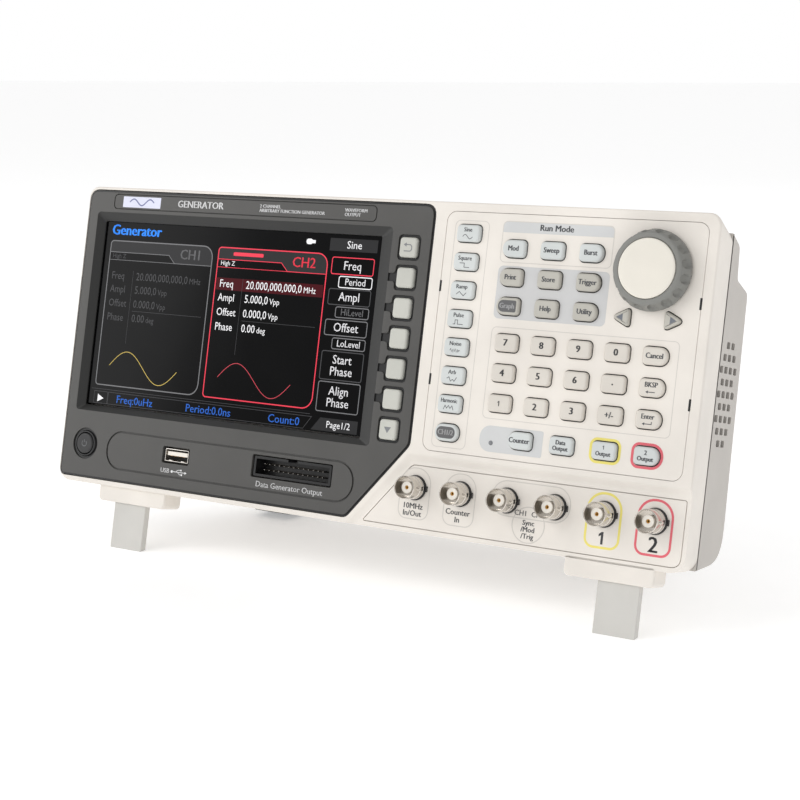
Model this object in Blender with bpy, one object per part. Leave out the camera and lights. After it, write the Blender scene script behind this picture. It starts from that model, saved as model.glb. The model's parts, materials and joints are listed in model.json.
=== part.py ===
"""Two-channel function generator, standing on its two front tilt legs.

Sizes are in millimetres in the instrument's own axes: x to the right seen from the front,
y from the front face into the case, z up, with z = 0 on the underside of the front frame
and x = 0 in the middle. An empty called "stance" leans the whole instrument back on its
legs and puts the floor at z = 0.
"""
import math

import bmesh
import bpy
from mathutils import Vector

MM = 0.001
GAP = 0.3                     # clearance between neighbouring pieces

# ---- driving dimensions of the case ----
BODY_W = 313.0
BODY_H = 138.0
BODY_D = 108.0
FRAME_D = 14.0                # front frame, from its face to the seam with the housing
WALL = 2.5
TOP_BACK_Z = 133.0            # the frame's top slopes down to this height at the seam
FRONT_WALL = 5.0              # ledge depth behind the bezel and the key panel

# ---- stance ----
LEG_T = 3.5
LEG_FRONT_Y = 3.0
LEG_BACK_Y = LEG_FRONT_Y + LEG_T
LEG_TIP_Z = -27.0
LEG_W = 18.0
LEG_PIVOT_Z = -3.5
LEG_CENTRES = {"left": -114.0, "right": 130.0}
FOOT_CENTRES = {"left": -112.7, "right": 125.7}
FOOT_W = 38.5
FOOT_Y = (1.5, 13.7)
FOOT_Z = -7.0
HEEL_Y = 97.0                 # the rear feet touch the floor from here backwards
REAR_FOOT_X = 90.0
REAR_FOOT_W = 24.0
REAR_FOOT_Y = (80.0, 103.0)
TILT = math.atan((FOOT_Z - LEG_TIP_Z) / (HEEL_Y - LEG_BACK_Y))

# ---- dark bezel with the screen ----
BEZEL_X = (-155.5, 31.7)
BEZEL_Z = (2.5, 136.4)
BEZEL_CUT = ((31.7, 36.0), (4.2, 2.5))     # the cut corner beside the connectors
BEZEL_Y = (-0.3, 2.9)
WINDOW_OUTER = (-149.8, 12.0, 33.5, 126.2)
WINDOW_INNER = (-146.5, 5.4, 36.2, 122.2)
STRIP = (-140.8, 3.2, 127.8, 134.9)
USB_CENTRE = (-88.6, 18.1)
HEADER_CENTRE = (-25.6, 18.7)
POWER_CENTRE = (-141.9, 18.1)

# ---- key panel ----
PANEL = (37.7, 151.9, 35.1, 133.9)
PANEL_T = 2.2
LEDGE = 2.0
KEY_W, KEY_H = 10.3, 7.0
WAVE_W = 10.8
KEY_PROUD = 1.8
KEY_TRAVEL = 1.0
FLANGE = 0.7                  # the retaining lip round the foot of a key
FLANGE_T = 1.0
SOFT_X, SOFT_TOP, SOFT_PITCH = 20.8, 117.9, 12.76
SOFT_W, SOFT_H = 8.4, 8.5
KNOB_CENTRE = (131.4, 114.6)
KNOB_R = 16.0
KNOB_CAP_R = 11.7
KNOB_FRONT_Y = -8.4

# ---- connector bay ----
BAY_STEP = 1.5
BNC_X0, BNC_PITCH, BNC_Z = 35.7, 21.39, 18.9
BNC_COUNT = 6
BNC_R = 4.8
BNC_FRONT_Y = -8.0
BOARD_Y = (9.0, 10.6)

WAVE_KEYS = ["sine", "square", "ramp", "pulse", "noise", "arbitrary", "harmonic", "channel"]
GRID_KEYS = [["modulation", "sweep", "burst"],
             ["print", "store", "trigger"],
             ["graph", "help", "utility"]]
PAD_KEYS = [["7", "8", "9", "0", "cancel"],
            ["4", "5", "6", "point", "backspace"],
            ["1", "2", "3", "sign", "enter"]]
SOFT_KEYS = ["return", "1", "2", "3", "4", "5", "next"]
LAST_ROW = {"counter": 82.5, "data_output": 100.8, "output_1": 119.3, "output_2": 137.0}


# ---------------------------------------------------------------- scene and helpers
for old in list(bpy.data.objects):
    bpy.data.objects.remove(old, do_unlink=True)

stance = bpy.data.objects.new("stance", None)
bpy.context.scene.collection.objects.link(stance)
stance.rotation_euler.x = -TILT


def material(name, colour, roughness, metallic=0.0):
    mat = bpy.data.materials.new(name)
    mat.use_nodes = True
    shader = mat.node_tree.nodes["Principled BSDF"]
    shader.inputs["Base Color"].default_value = (*colour, 1.0)
    shader.inputs["Roughness"].default_value = roughness
    shader.inputs["Metallic"].default_value = metallic
    return mat


CREAM = material("cream_plastic", (0.80, 0.77, 0.73), 0.45)
STONE = material("grey_plastic", (0.55, 0.52, 0.49), 0.5)
DARK = material("dark_plastic", (0.09, 0.09, 0.085), 0.4)
BLUE_KEY = material("cool_key_rubber", (0.66, 0.71, 0.73), 0.5)
WARM_KEY = material("warm_key_rubber", (0.66, 0.62, 0.57), 0.5)
KNOB_GREY = material("knob_grey", (0.26, 0.27, 0.28), 0.5)
GLASS = material("screen_glass", (0.01, 0.01, 0.012), 0.08)
BOARD = material("circuit_board", (0.03, 0.16, 0.07), 0.5)
BLACK = material("black_plastic", (0.02, 0.02, 0.02), 0.5)


def add(name, bm, mat, at=(0.0, 0.0, 0.0), tool=False):
    """Make a closed mesh (in millimetres) an object that leans with the stance."""
    bmesh.ops.recalc_face_normals(bm, faces=bm.faces)
    for vert in bm.verts:
        vert.co *= MM
    mesh = bpy.data.meshes.new(name)
    bm.to_mesh(mesh)
    bm.free()
    mesh.materials.append(mat)
    obj = bpy.data.objects.new(name, mesh)
    obj.location = Vector(at) * MM
    obj.parent = stance
    bpy.context.scene.collection.objects.link(obj)
    if tool:
        obj.hide_render = True
        obj.display_type = "WIRE"
    return obj


def loft(rings):
    """Closed mesh through rings of equal length, capped at both ends."""
    bm = bmesh.new()
    loops = [[bm.verts.new(point) for point in ring] for ring in rings]
    for low, high in zip(loops, loops[1:]):
        for i in range(len(low)):
            j = (i + 1) % len(low)
            bm.faces.new((low[i], low[j], high[j], high[i]))
    bm.faces.new(loops[0])
    bm.faces.new(loops[-1])
    return bm


def face_prism(outline, y0, y1):
    """An outline in the panel's x and z, extruded from y0 to y1."""
    return loft([[(x, y, z) for x, z in outline] for y in (y0, y1)])


def box(x0, x1, y0, y1, z0, z1):
    return face_prism([(x0, z0), (x1, z0), (x1, z1), (x0, z1)], y0, y1)


def rounded(x0, x1, z0, z1, radii, steps=3):
    """Rounded rectangle; radii run from bottom left, anticlockwise, or are one number."""
    if not isinstance(radii, (list, tuple)):
        radii = [radii] * 4
    corners = [(x0, z0, 180), (x1, z0, 270), (x1, z1, 0), (x0, z1, 90)]
    points = []
    for (cx, cz, start), r in zip(corners, radii):
        mx = cx + (r if cx == x0 else -r)
        mz = cz + (r if cz == z0 else -r)
        for step in range(steps + 1):
            a = math.radians(start + 90.0 * step / steps)
            points.append((mx + r * math.cos(a), mz + r * math.sin(a)))
    return points


def circle(cx, cz, r, sides=24):
    angles = [2 * math.pi * i / sides for i in range(sides)]
    return [(cx + r * math.cos(a), cz + r * math.sin(a)) for a in angles]


def boolean(target, tool, operation):
    mod = target.modifiers.new(f"{operation.lower()}_{tool.name}", "BOOLEAN")
    mod.operation = operation
    mod.solver = "EXACT"
    mod.object = tool


def cut(target, name, bm):
    boolean(target, add(name, bm, BLACK, tool=True), "DIFFERENCE")


def fuse(target, name, bm):
    boolean(target, add(name, bm, BLACK, tool=True), "UNION")


def merge(parts):
    """One mesh from several closed meshes that don't touch each other."""
    whole = bmesh.new()
    for part in parts:
        mesh = bpy.data.meshes.new("part")
        part.to_mesh(mesh)
        part.free()
        whole.from_mesh(mesh)
        bpy.data.meshes.remove(mesh)
    return whole


def floor_z(y):
    """Height of the floor at depth y, in the instrument's own axes."""
    return FOOT_Z + (y - HEEL_Y) * math.tan(TILT)


# ---------------------------------------------------------------- keys
def key_outline(w, h, style, grow=0.0):
    """Rounded key outline about its centre. A round side has a corner radius of half."""
    small, big = 1.6, h / 2 - 0.3
    radii = {"plain": [small] * 4,
             "left": [big, small, small, big],
             "right": [small, big, big, small],
             "oval": [big] * 4,
             "bottom_left": [big, small, small, small],
             "top_left": [small, small, small, big]}[style]
    radii = [r + grow for r in radii]
    return rounded(-w / 2 - grow, w / 2 + grow, -h / 2 - grow, h / 2 + grow, radii, 2)


def key_mesh(w, h, style, proud, back_y):
    """A key cap with a softened front, and its retaining lip behind the panel."""
    rings = []
    for grow, y in ((-0.6, -proud), (0.0, -proud + 0.6), (0.0, back_y), (FLANGE, back_y),
                    (FLANGE, back_y + FLANGE_T)):
        rings.append([(x, y, z) for x, z in key_outline(w, h, style, grow)])
    return loft(rings)


def key(name, x, z, w, h, style, mat, proud, back_y):
    add(name, key_mesh(w, h, style, proud, back_y), mat, at=(x, 0.0, z))
    return face_prism([(x + px, z + pz) for px, pz in key_outline(w, h, style, GAP)], -3, 5)


panel_holes = []
panel_back = PANEL_T + GAP
for i, wave in enumerate(WAVE_KEYS):
    panel_holes.append(key(f"key_{wave}", 48.8, 125.1 - 11.72 * i, WAVE_W, KEY_H,
                           "oval" if wave == "channel" else "plain", BLUE_KEY,
                           KEY_PROUD, panel_back))
for row, names in enumerate(GRID_KEYS):
    for col, label in enumerate(names):
        style = ("left", "plain", "right")[col]
        mat = WARM_KEY if row else BLUE_KEY
        panel_holes.append(key(f"key_{label}", 70.4 + 17.1 * col, 119.9 - 11.68 * row,
                               KEY_W, KEY_H, style, mat, KEY_PROUD, panel_back))
for row, names in enumerate(PAD_KEYS):
    for col, label in enumerate(names):
        style = "right" if col == 4 else "plain"
        panel_holes.append(key(f"key_{label}", 71.5 + 16.17 * col, 81.7 - 12.28 * row,
                               KEY_W, KEY_H, style, WARM_KEY, KEY_PROUD, panel_back))
for label, x in LAST_ROW.items():
    style = {"counter": "left", "output_2": "right"}.get(label, "plain")
    panel_holes.append(key(f"key_{label}", x, 43.2, KEY_W, KEY_H, style, BLUE_KEY,
                           KEY_PROUD, panel_back))
for label, x, style in (("left", 120.0, "left"), ("right", 142.0, "right")):
    panel_holes.append(key(f"key_arrow_{label}", x, 95.7, 8.2, 7.4, style, WARM_KEY,
                           KEY_PROUD, panel_back))

bezel_holes = []
bezel_back = BEZEL_Y[1] + GAP
for i, label in enumerate(SOFT_KEYS):
    bezel_holes.append(key(f"softkey_{label}", SOFT_X, SOFT_TOP - SOFT_PITCH * i, SOFT_W, SOFT_H,
                           "plain", WARM_KEY, 1.4, bezel_back))


def power_button():
    rings = []
    for r, y in ((4.2, -1.0), (4.8, -0.4), (4.8, bezel_back), (6.0, bezel_back),
                 (6.0, bezel_back + FLANGE_T)):
        rings.append([(x, y, z) for x, z in circle(0, 0, r, 16)])
    add("power_button", loft(rings), DARK, at=(POWER_CENTRE[0], 0.0, POWER_CENTRE[1]))
    px, pz = POWER_CENTRE
    bezel_holes.append(face_prism(circle(px, pz, 4.8 + GAP, 16), -3, 5))


power_button()


# ---------------------------------------------------------------- knob
def knob():
    cx, cz = KNOB_CENTRE
    grip = []
    profile = [(3.0, 9.5), (3.0, -0.6), (KNOB_R, -0.6), (KNOB_R, -2.6), (KNOB_R - 1.3, -6.8),
               (KNOB_R - 2.6, -7.6), (KNOB_CAP_R + GAP, -7.6), (KNOB_CAP_R + GAP, -5.0)]
    for r, y in profile:
        grip.append([(x, y, z) for x, z in circle(0, 0, r, 24)])
    add("knob_grip", loft(grip), KNOB_GREY, at=(cx, 0.0, cz))
    cap = []
    for r, y in ((KNOB_CAP_R, -5.0 - GAP), (KNOB_CAP_R, -8.0), (KNOB_CAP_R - 0.4, KNOB_FRONT_Y)):
        cap.append([(x, y, z) for x, z in circle(0, 0, r, 24)])
    add("knob_cap", loft(cap), CREAM, at=(cx, 0.0, cz))


knob()


# ---------------------------------------------------------------- key panel and key board
def key_panel():
    x0, x1, z0, z1 = PANEL
    panel = add("key_panel", face_prism(rounded(x0, x1, z0, z1, 3.0), 0.0, PANEL_T), CREAM)
    panel_holes.append(face_prism(circle(*KNOB_CENTRE, 4.0, 16), -3, 5))
    cut(panel, "panel_cutter", merge(panel_holes))


def key_board():
    x0, x1, z0, z1 = PANEL
    m = LEDGE + 0.6
    board = add("key_board", box(x0 + m, x1 - m, 4.8, 7.6, z0 + m, z1 - m), BOARD)
    kx, kz = KNOB_CENTRE
    fuse(board, "encoder_case", box(kx - 6.5, kx + 6.5, 7.0, 13.0, kz - 6.5, kz + 6.5))
    cut(board, "spindle_bore", face_prism(circle(kx, kz, 3.5, 16), 3.0, 10.5))


key_panel()
key_board()


# ---------------------------------------------------------------- bezel
def bezel_outline(grow):
    """The bezel's edge, with its cut corner, moved outwards by grow."""
    (ax, az), (bx, bz) = BEZEL_CUT
    x0, x1 = BEZEL_X[0] - grow, BEZEL_X[1] + grow
    z0, z1 = BEZEL_Z[0] - grow, BEZEL_Z[1] + grow
    r = 3.0
    outline = rounded(x0, x1, z0, z1, [r, r, r + 1.0, r])
    per_corner = len(outline) // 4
    lean = (ax - bx) / (az - bz)
    shift = grow * (math.hypot(1, lean) - lean)
    cut_low = (bx + shift, z0)
    cut_high = (x1, az - grow * (math.hypot(1, lean) - 1) / lean)
    return outline[:per_corner] + [cut_low, cut_high] + outline[2 * per_corner:]


def bezel():
    y0, y1 = BEZEL_Y
    piece = add("screen_bezel", face_prism(bezel_outline(0.0), y0, y1), DARK)
    outer, inner = WINDOW_OUTER, WINDOW_INNER
    rings = []
    for (x0, x1, z0, z1), y in ((outer, y0 - 1.0), (outer, y0), (inner, y1 - 0.6),
                                (inner, y1 + 1.0)):
        rings.append([(x, y, z) for x, z in rounded(x0, x1, z0, z1, 1.5, 2)])
    bezel_holes.append(loft(rings))
    ux, uz = USB_CENTRE
    bezel_holes.append(box(ux - 7.4, ux + 7.4, -3, 5, uz - 3.6, uz + 3.6))
    hx, hz = HEADER_CENTRE
    bezel_holes.append(box(hx - 20.9, hx + 20.9, -3, 5, hz - 4.9, hz + 4.9))
    cut(piece, "bezel_cutter", merge(bezel_holes))
    wells = []
    px, pz = POWER_CENTRE
    wells.append(face_prism(circle(px, pz, 7.2, 24), -2.0, 0.9))
    x0, x1, z0, z1 = STRIP
    wells.append(face_prism(rounded(x0, x1, z0, z1, 2.0, 2), -2.0, 0.2))
    cut(piece, "well_cutter", merge(wells))


bezel()


# ---------------------------------------------------------------- display
def display_module():
    x0, x1, z0, z1 = WINDOW_INNER
    glass_y = BEZEL_Y[1] + GAP
    screen = add("display_module", box(x0 - 2, x1 + 2, glass_y, 9.5, z0 + 0.6, z1 + 2), GLASS)
    plate_y = bezel_back + FLANGE_T + KEY_TRAVEL + GAP
    fuse(screen, "softkey_strip", box(x1 - 6, 29.0, plate_y, plate_y + 1.6, z0 + 0.6, z1 + 2))


display_module()


# ---------------------------------------------------------------- front frame
def frame_profile():
    """Side profile of the frame as (y, z), sloping down to the seam at the back."""
    return [(0.0, 0.0), (FRAME_D, 0.0), (FRAME_D, TOP_BACK_Z), (1.5, BODY_H), (0.0, BODY_H - 0.8)]


def side_prism(profile, x0, x1):
    """A (y, z) profile extruded across the instrument."""
    return loft([[(x, y, z) for y, z in profile] for x in (x0, x1)])


def front_frame():
    half = BODY_W / 2
    frame = add("front_frame", side_prism(frame_profile(), -half, half), CREAM)
    # hollow behind the front wall
    inner = [(FRONT_WALL, WALL), (FRAME_D + 1, WALL), (FRAME_D + 1, TOP_BACK_Z - WALL),
             (FRONT_WALL, BODY_H - 2 * WALL)]
    cut(frame, "frame_hollow", side_prism(inner, -half + WALL, half - WALL))
    # bezel seat, key panel seat and their openings
    x0, x1, z0, z1 = PANEL
    seats = [face_prism(bezel_outline(GAP), -2.0, BEZEL_Y[1] + GAP),
             face_prism(rounded(x0 - GAP, x1 + GAP, z0 - GAP, z1 + GAP, 3.0 + GAP),
                        -2.0, PANEL_T + GAP)]
    cut(frame, "seat_cutter", merge(seats))
    openings = [face_prism(bezel_outline(-LEDGE), 0.5, FRONT_WALL + 3.0),
                box(x0 + LEDGE, x1 - LEDGE, 0.5, FRONT_WALL + 3.0, z0 + LEDGE, z1 - LEDGE)]
    cut(frame, "opening_cutter", merge(openings))
    # connector bay, one step lower than the key panel's level
    slant = [(32.7, 29.2), (6.8, -2.0), (half + 2, -2.0), (half + 2, 29.2)]
    slope = [(30.9, 33.2), (1.6, -2.0), (half + 2, -2.0), (half + 2, 33.2)]
    bay = loft([[(x, y, z) for x, z in outline]
                for outline, y in ((slope, -1.0), (slope, 0.0), (slant, BAY_STEP))])
    cut(frame, "bay_cutter", bay)
    holes = [face_prism(circle(BNC_X0 + BNC_PITCH * i, BNC_Z, BNC_R + 0.5, 16), -1, 8)
             for i in range(BNC_COUNT)]
    cut(frame, "bnc_cutter", merge(holes))
    # foot blocks under the frame, each with a pocket for its leg
    for side, cx in FOOT_CENTRES.items():
        outline = rounded(cx - FOOT_W / 2, cx + FOOT_W / 2, FOOT_Z, 1.0, [1.5, 1.5, 0.1, 0.1], 2)
        fuse(frame, f"foot_block_{side}", face_prism(outline, *FOOT_Y))
        lx = LEG_CENTRES[side]
        room = LEG_W / 2 + GAP
        pocket = box(lx - room, lx + room, LEG_FRONT_Y - GAP, FOOT_Y[1] + 2,
                     FOOT_Z - 1, LEG_PIVOT_Z + LEG_T / 2 + 0.6)
        cut(frame, f"leg_pocket_{side}", pocket)
        sides = circle((LEG_FRONT_Y + LEG_BACK_Y) / 2, LEG_PIVOT_Z, 1.3, 12)
        cut(frame, f"pin_bore_{side}", side_prism(sides, lx - room - 1.8, lx + room + 1.8))


front_frame()


# ---------------------------------------------------------------- tilt legs
def tilt_leg(side):
    """A leg about its pivot: a rounded head with two pins, and a foot cut to the floor."""
    pivot_y = (LEG_FRONT_Y + LEG_BACK_Y) / 2
    half_t = LEG_T / 2
    head = []
    for step in range(7):
        a = math.radians(180.0 * step / 6)
        head.append((half_t * math.cos(a), half_t * math.sin(a)))
    tip = [(-half_t, floor_z(LEG_FRONT_Y) - LEG_PIVOT_Z), (half_t, LEG_TIP_Z - LEG_PIVOT_Z)]
    leg = add(f"tilt_leg_{side}", side_prism(head + tip, -LEG_W / 2, LEG_W / 2), STONE,
              at=(LEG_CENTRES[side], pivot_y, LEG_PIVOT_Z))
    reach = LEG_W / 2 + 1.6
    pin = add(f"leg_pin_{side}", side_prism(circle(0, 0, 1.0, 12), -reach, reach), STONE,
              at=(LEG_CENTRES[side], pivot_y, LEG_PIVOT_Z), tool=True)
    boolean(leg, pin, "UNION")


for side in LEG_CENTRES:
    tilt_leg(side)


# ---------------------------------------------------------------- rear housing
SHOULDER = [(FRAME_D + GAP, 1.0), (30.7, 3.2), (36.8, 6.0), (40.0, 12.0), (40.3, 18.0),
            (37.2, 111.6), (24.3, 115.5), (22.9, 128.6), (FRAME_D + GAP, 132.4)]


def shoulder_inside():
    """The shoulder's profile moved in by the wall, and open at the seam."""
    return [(FRAME_D - 1, 1.0 + WALL), (29.7, 3.2 + WALL), (34.8, 8.0), (37.4, 13.0),
            (37.7, 18.0), (35.0, 109.6), (21.8, 113.4), (20.4, 126.4), (FRAME_D - 1, 129.8)]


def hump(inset, y0, y1):
    """Rear bulge for the power supply: a rounded box that narrows towards the back."""
    front = rounded(-128 + inset, 128 - inset, 3.2 + inset, 110.5 - inset, 6.0)
    back = rounded(-113 + inset, 113 - inset, 5.0 + inset, 104.0 - inset, 8.0)
    return loft([[(x, y, z) for x, z in outline] for outline, y in ((front, y0), (back, y1))])


INLET_CENTRE = (-72.0, 34.0)
INLET_W, INLET_H = 27.5, 19.8


def rear_housing():
    half = BODY_W / 2
    case = add("rear_housing", side_prism(SHOULDER, -half, half), STONE)
    fuse(case, "hump_outside", hump(0.0, 32.0, BODY_D))
    for sign in (-1, 1):
        cx = sign * REAR_FOOT_X
        y0, y1 = REAR_FOOT_Y
        profile = [(y0, 8.0), (y0, FOOT_Z), (HEEL_Y, FOOT_Z), (y1, floor_z(y1)), (y1, 8.0)]
        foot = side_prism(profile, cx - REAR_FOOT_W / 2, cx + REAR_FOOT_W / 2)
        fuse(case, f"rear_foot_{'left' if sign < 0 else 'right'}", foot)
    cut(case, "shoulder_hollow", side_prism(shoulder_inside(), -half + WALL, half - WALL))
    cut(case, "hump_hollow", hump(WALL, 33.0, BODY_D - WALL))
    ix, iz = INLET_CENTRE
    hole = box(ix - INLET_W / 2 - GAP, ix + INLET_W / 2 + GAP, BODY_D - 6, BODY_D + 2,
               iz - INLET_H / 2 - GAP, iz + INLET_H / 2 + GAP)
    cut(case, "inlet_hole", hole)


rear_housing()


# ---------------------------------------------------------------- boards inside
def connector_board():
    """The board along the bottom of the front, with every socket that shows there."""
    y0, y1 = BOARD_Y
    board = add("connector_board", box(-150.0, 152.0, y0, y1, 5.5, 33.0), BOARD)
    solids = []
    for i in range(BNC_COUNT):
        cx = BNC_X0 + BNC_PITCH * i
        rings = [(7.0, y0 + 0.5), (7.0, FRONT_WALL + GAP), (BNC_R, FRONT_WALL + GAP),
                 (BNC_R, BNC_FRONT_Y), (BNC_R - 0.75, BNC_FRONT_Y), (BNC_R - 0.75, -1.0),
                 (2.4, -1.0), (2.4, BNC_FRONT_Y + 2.0)]
        solids.append(loft([[(x, y, z) for x, z in circle(cx, BNC_Z, r, 16)] for r, y in rings]))
    px, pz = POWER_CENTRE
    solids.append(box(px - 4, px + 4, 6.4, y0 + 0.5, pz - 4, pz + 4))
    ux, uz = USB_CENTRE
    solids.append(box(ux - 6.55, ux + 6.55, 0.6, y0 + 0.5, uz - 2.85, uz + 2.85))
    hx, hz = HEADER_CENTRE
    solids.append(box(hx - 20.3, hx + 20.3, 0.6, y0 + 0.5, hz - 4.5, hz + 4.5))
    fuse(board, "sockets", merge(solids))
    mouths = [box(ux - 6.2, ux + 6.2, -1, 7.8, uz - 2.5, uz - 0.1),
              box(ux - 6.2, ux + 6.2, -1, 7.8, uz + 1.7, uz + 2.5),
              box(hx - 19.1, hx + 19.1, -1, 7.6, hz - 3.2, hz + 3.2)]
    cut(board, "socket_mouths", merge(mouths))
    pins = []
    for col in range(13):
        for row in (-1, 1):
            cx, cz = hx + (col - 6) * 2.54, hz + row * 1.27
            pins.append(box(cx - 0.32, cx + 0.32, 1.6, 8.2, cz - 0.32, cz + 0.32))
    fuse(board, "header_pins", merge(pins))


def main_board():
    board = add("main_board", box(-118.0, 118.0, 30.0, 31.6, 14.0, 104.0), BOARD)
    cans = [box(30.0, 105.0, 25.0, 30.5, 20.0, 60.0), box(-40.0, 5.0, 22.0, 30.5, 45.0, 90.0),
            box(30.0, 70.0, 26.5, 30.5, 68.0, 98.0)]
    fuse(board, "shield_cans", merge(cans))


def power_supply():
    """Switch-mode supply on its own board, close to the mains inlet."""
    board = add("power_supply", box(-106.0, -20.0, 50.0, 51.6, 10.0, 98.0), BOARD)
    parts = [box(-98.0, -70.0, 51.0, 76.0, 60.0, 90.0),
             box(-62.0, -58.0, 51.0, 80.0, 52.0, 94.0),
             face_prism(circle(-40.0, 76.0, 9.0, 16), 51.0, 78.0),
             box(-50.0, -28.0, 51.0, 70.0, 18.0, 44.0)]
    fuse(board, "supply_parts", merge(parts))


def mains_inlet():
    ix, iz = INLET_CENTRE
    back = BODY_D + GAP
    inlet = add("mains_inlet", box(ix - INLET_W / 2, ix + INLET_W / 2, 88.0, back + 1.0,
                                   iz - INLET_H / 2, iz + INLET_H / 2), BLACK)
    flange = rounded(ix - 25.0, ix + 25.0, iz - 12.0, iz + 12.0, 4.0)
    fuse(inlet, "inlet_flange", face_prism(flange, back, back + 2.0))
    mouth = rounded(ix - 12.2, ix + 12.2, iz - 8.2, iz + 8.2, 2.0)
    cut(inlet, "inlet_mouth", face_prism(mouth, 93.0, back + 4.0))
    pins = [box(ix + dx - 1.0, ix + dx + 1.0, 92.0, 105.0, iz + dz - 2.0, iz + dz + 2.0)
            for dx, dz in ((-7.0, -2.0), (0.0, 2.0), (7.0, -2.0))]
    fuse(inlet, "inlet_pins", merge(pins))


connector_board()
main_board()
power_supply()
mains_inlet()


# ---------------------------------------------------------------- put it on the floor
def stand_on_floor():
    """Floor at z = 0 under the legs and rear feet, and the box's centre over the origin."""
    drop = -(FOOT_Z * math.cos(TILT) - HEEL_Y * math.sin(TILT))
    lowest_socket = BNC_Z - BNC_R
    front = BNC_FRONT_Y * math.cos(TILT) + lowest_socket * math.sin(TILT)
    back = BODY_D * math.cos(TILT) + 104.0 * math.sin(TILT)
    stance.location = Vector((0.0, -(front + back) / 2, drop)) * MM


stand_on_floor()
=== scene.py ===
# %% [markdown]
# # A two-channel function generator, built around its CAD frame
#
# This bench instrument makes test signals. Its front has a wide screen in a dark bezel,
# a field of small keys, one large knob and a row of coaxial sockets. The CAD model already
# holds every part that moves, with its joints. This script adds the looks: rounded edges,
# printed words, the lit screen and believable plastics and metals.

# %% Load the frame
import functools
import json
import math

import bmesh
import bpy
from mathutils import Matrix, Vector

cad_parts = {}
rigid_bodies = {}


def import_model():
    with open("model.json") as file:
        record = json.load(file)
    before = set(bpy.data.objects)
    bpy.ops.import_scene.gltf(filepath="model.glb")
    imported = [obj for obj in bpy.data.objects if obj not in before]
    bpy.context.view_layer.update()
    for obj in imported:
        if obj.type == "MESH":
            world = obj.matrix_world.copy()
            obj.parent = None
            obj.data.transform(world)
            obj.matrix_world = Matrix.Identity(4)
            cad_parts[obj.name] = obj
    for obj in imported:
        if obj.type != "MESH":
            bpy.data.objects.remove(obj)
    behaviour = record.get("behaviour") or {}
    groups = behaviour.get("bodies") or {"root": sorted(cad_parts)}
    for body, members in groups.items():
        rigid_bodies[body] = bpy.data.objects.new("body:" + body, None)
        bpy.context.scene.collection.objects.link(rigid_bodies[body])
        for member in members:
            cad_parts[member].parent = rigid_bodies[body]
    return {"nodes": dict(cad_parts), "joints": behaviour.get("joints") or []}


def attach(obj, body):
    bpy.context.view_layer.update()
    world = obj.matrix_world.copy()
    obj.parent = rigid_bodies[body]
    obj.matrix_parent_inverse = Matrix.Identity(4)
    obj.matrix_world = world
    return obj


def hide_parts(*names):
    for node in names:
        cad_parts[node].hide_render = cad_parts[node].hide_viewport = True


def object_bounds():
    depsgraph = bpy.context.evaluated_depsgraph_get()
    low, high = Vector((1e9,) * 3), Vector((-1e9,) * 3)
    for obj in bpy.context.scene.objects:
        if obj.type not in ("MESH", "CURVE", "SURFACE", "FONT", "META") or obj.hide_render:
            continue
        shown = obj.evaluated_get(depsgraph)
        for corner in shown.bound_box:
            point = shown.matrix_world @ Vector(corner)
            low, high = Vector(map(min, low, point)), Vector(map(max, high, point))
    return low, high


for old in list(bpy.data.objects):
    bpy.data.objects.remove(old, do_unlink=True)
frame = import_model()
cad_low, cad_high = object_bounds()
print("CAD box in mm:", [round(1000 * side) for side in cad_high - cad_low])

# %% [markdown]
# ## The instrument's own axes
#
# The case leans back on its two front legs, so its front face is parallel to no plane of
# the room. Drawing on a leaning face is awkward. It is easier to work upright, in
# millimetres: x to the right, y into the case, z up from the underside of the front frame.
# One matrix, `to_row`, then leans each finished mesh and puts it in place. The lean comes
# from the knob's axis and the corner from the front frame, so both follow the CAD.

# %% Axes
MM = 0.001
BODY_H = 138.0
turn = next(joint for joint in frame["joints"] if joint["name"] == "knob_turn")
TILT = math.atan2(-turn["axis"][2], turn["axis"][1])
lean = Matrix.Rotation(-TILT, 4, "X")
upright = [lean.inverted() @ v.co for v in frame["nodes"]["front_frame"].data.vertices]
corner = Vector((0.0, min(p.y for p in upright), max(p.z for p in upright) - BODY_H * MM))
to_row = lean @ Matrix.Translation(corner) @ Matrix.Scale(MM, 4)
to_face = to_row.inverted()


def face_box(node):
    """Lowest and highest corner of a CAD node in the instrument's own axes, in mm."""
    points = [to_face @ v.co for v in frame["nodes"][node].data.vertices]
    low = Vector([min(p[i] for p in points) for i in range(3)])
    high = Vector([max(p[i] for p in points) for i in range(3)])
    return low, high


def face_centre(node):
    """Middle of a CAD node as it is seen from the front: x and z in mm."""
    low, high = face_box(node)
    return (low.x + high.x) / 2, (low.z + high.z) / 2


HALF_W = face_box("front_frame")[1].x
print(f"the case leans back {math.degrees(TILT):.2f} degrees; half its width is {HALF_W:.1f} mm")

# %% [markdown]
# ## Nodes
#
# The sky, the finishes and the repeated parts are all node trees. Two helpers keep them
# short: one feeds the inputs of a node, and the other adds a node and feeds it.


# %% Nodes: two helpers for every tree
def feed(tree, node, **values):
    """Feed a node's inputs from sockets or plain values, by name with _ for a space."""
    for label, value in values.items():
        socket = node.inputs[label.replace("_", " ")]
        if isinstance(value, bpy.types.NodeSocket):
            tree.links.new(value, socket)
        else:
            socket.default_value = value
    return node


def add_node(tree, kind, **values):
    return feed(tree, tree.nodes.new(kind), **values)


# %% [markdown]
# ## Camera, floor and light
#
# The camera stands to the right of the instrument and a little above it, with a long lens
# that keeps the edges nearly parallel. A pale floor and an even sky give the soft light of
# a product studio. The sky is dimmer as a light than as a backdrop, so the keys keep their
# shadows. One light from the front left models the keys, a tall one further round is
# mirrored in the left half of the screen, and a weak one from behind lifts the back.

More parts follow.
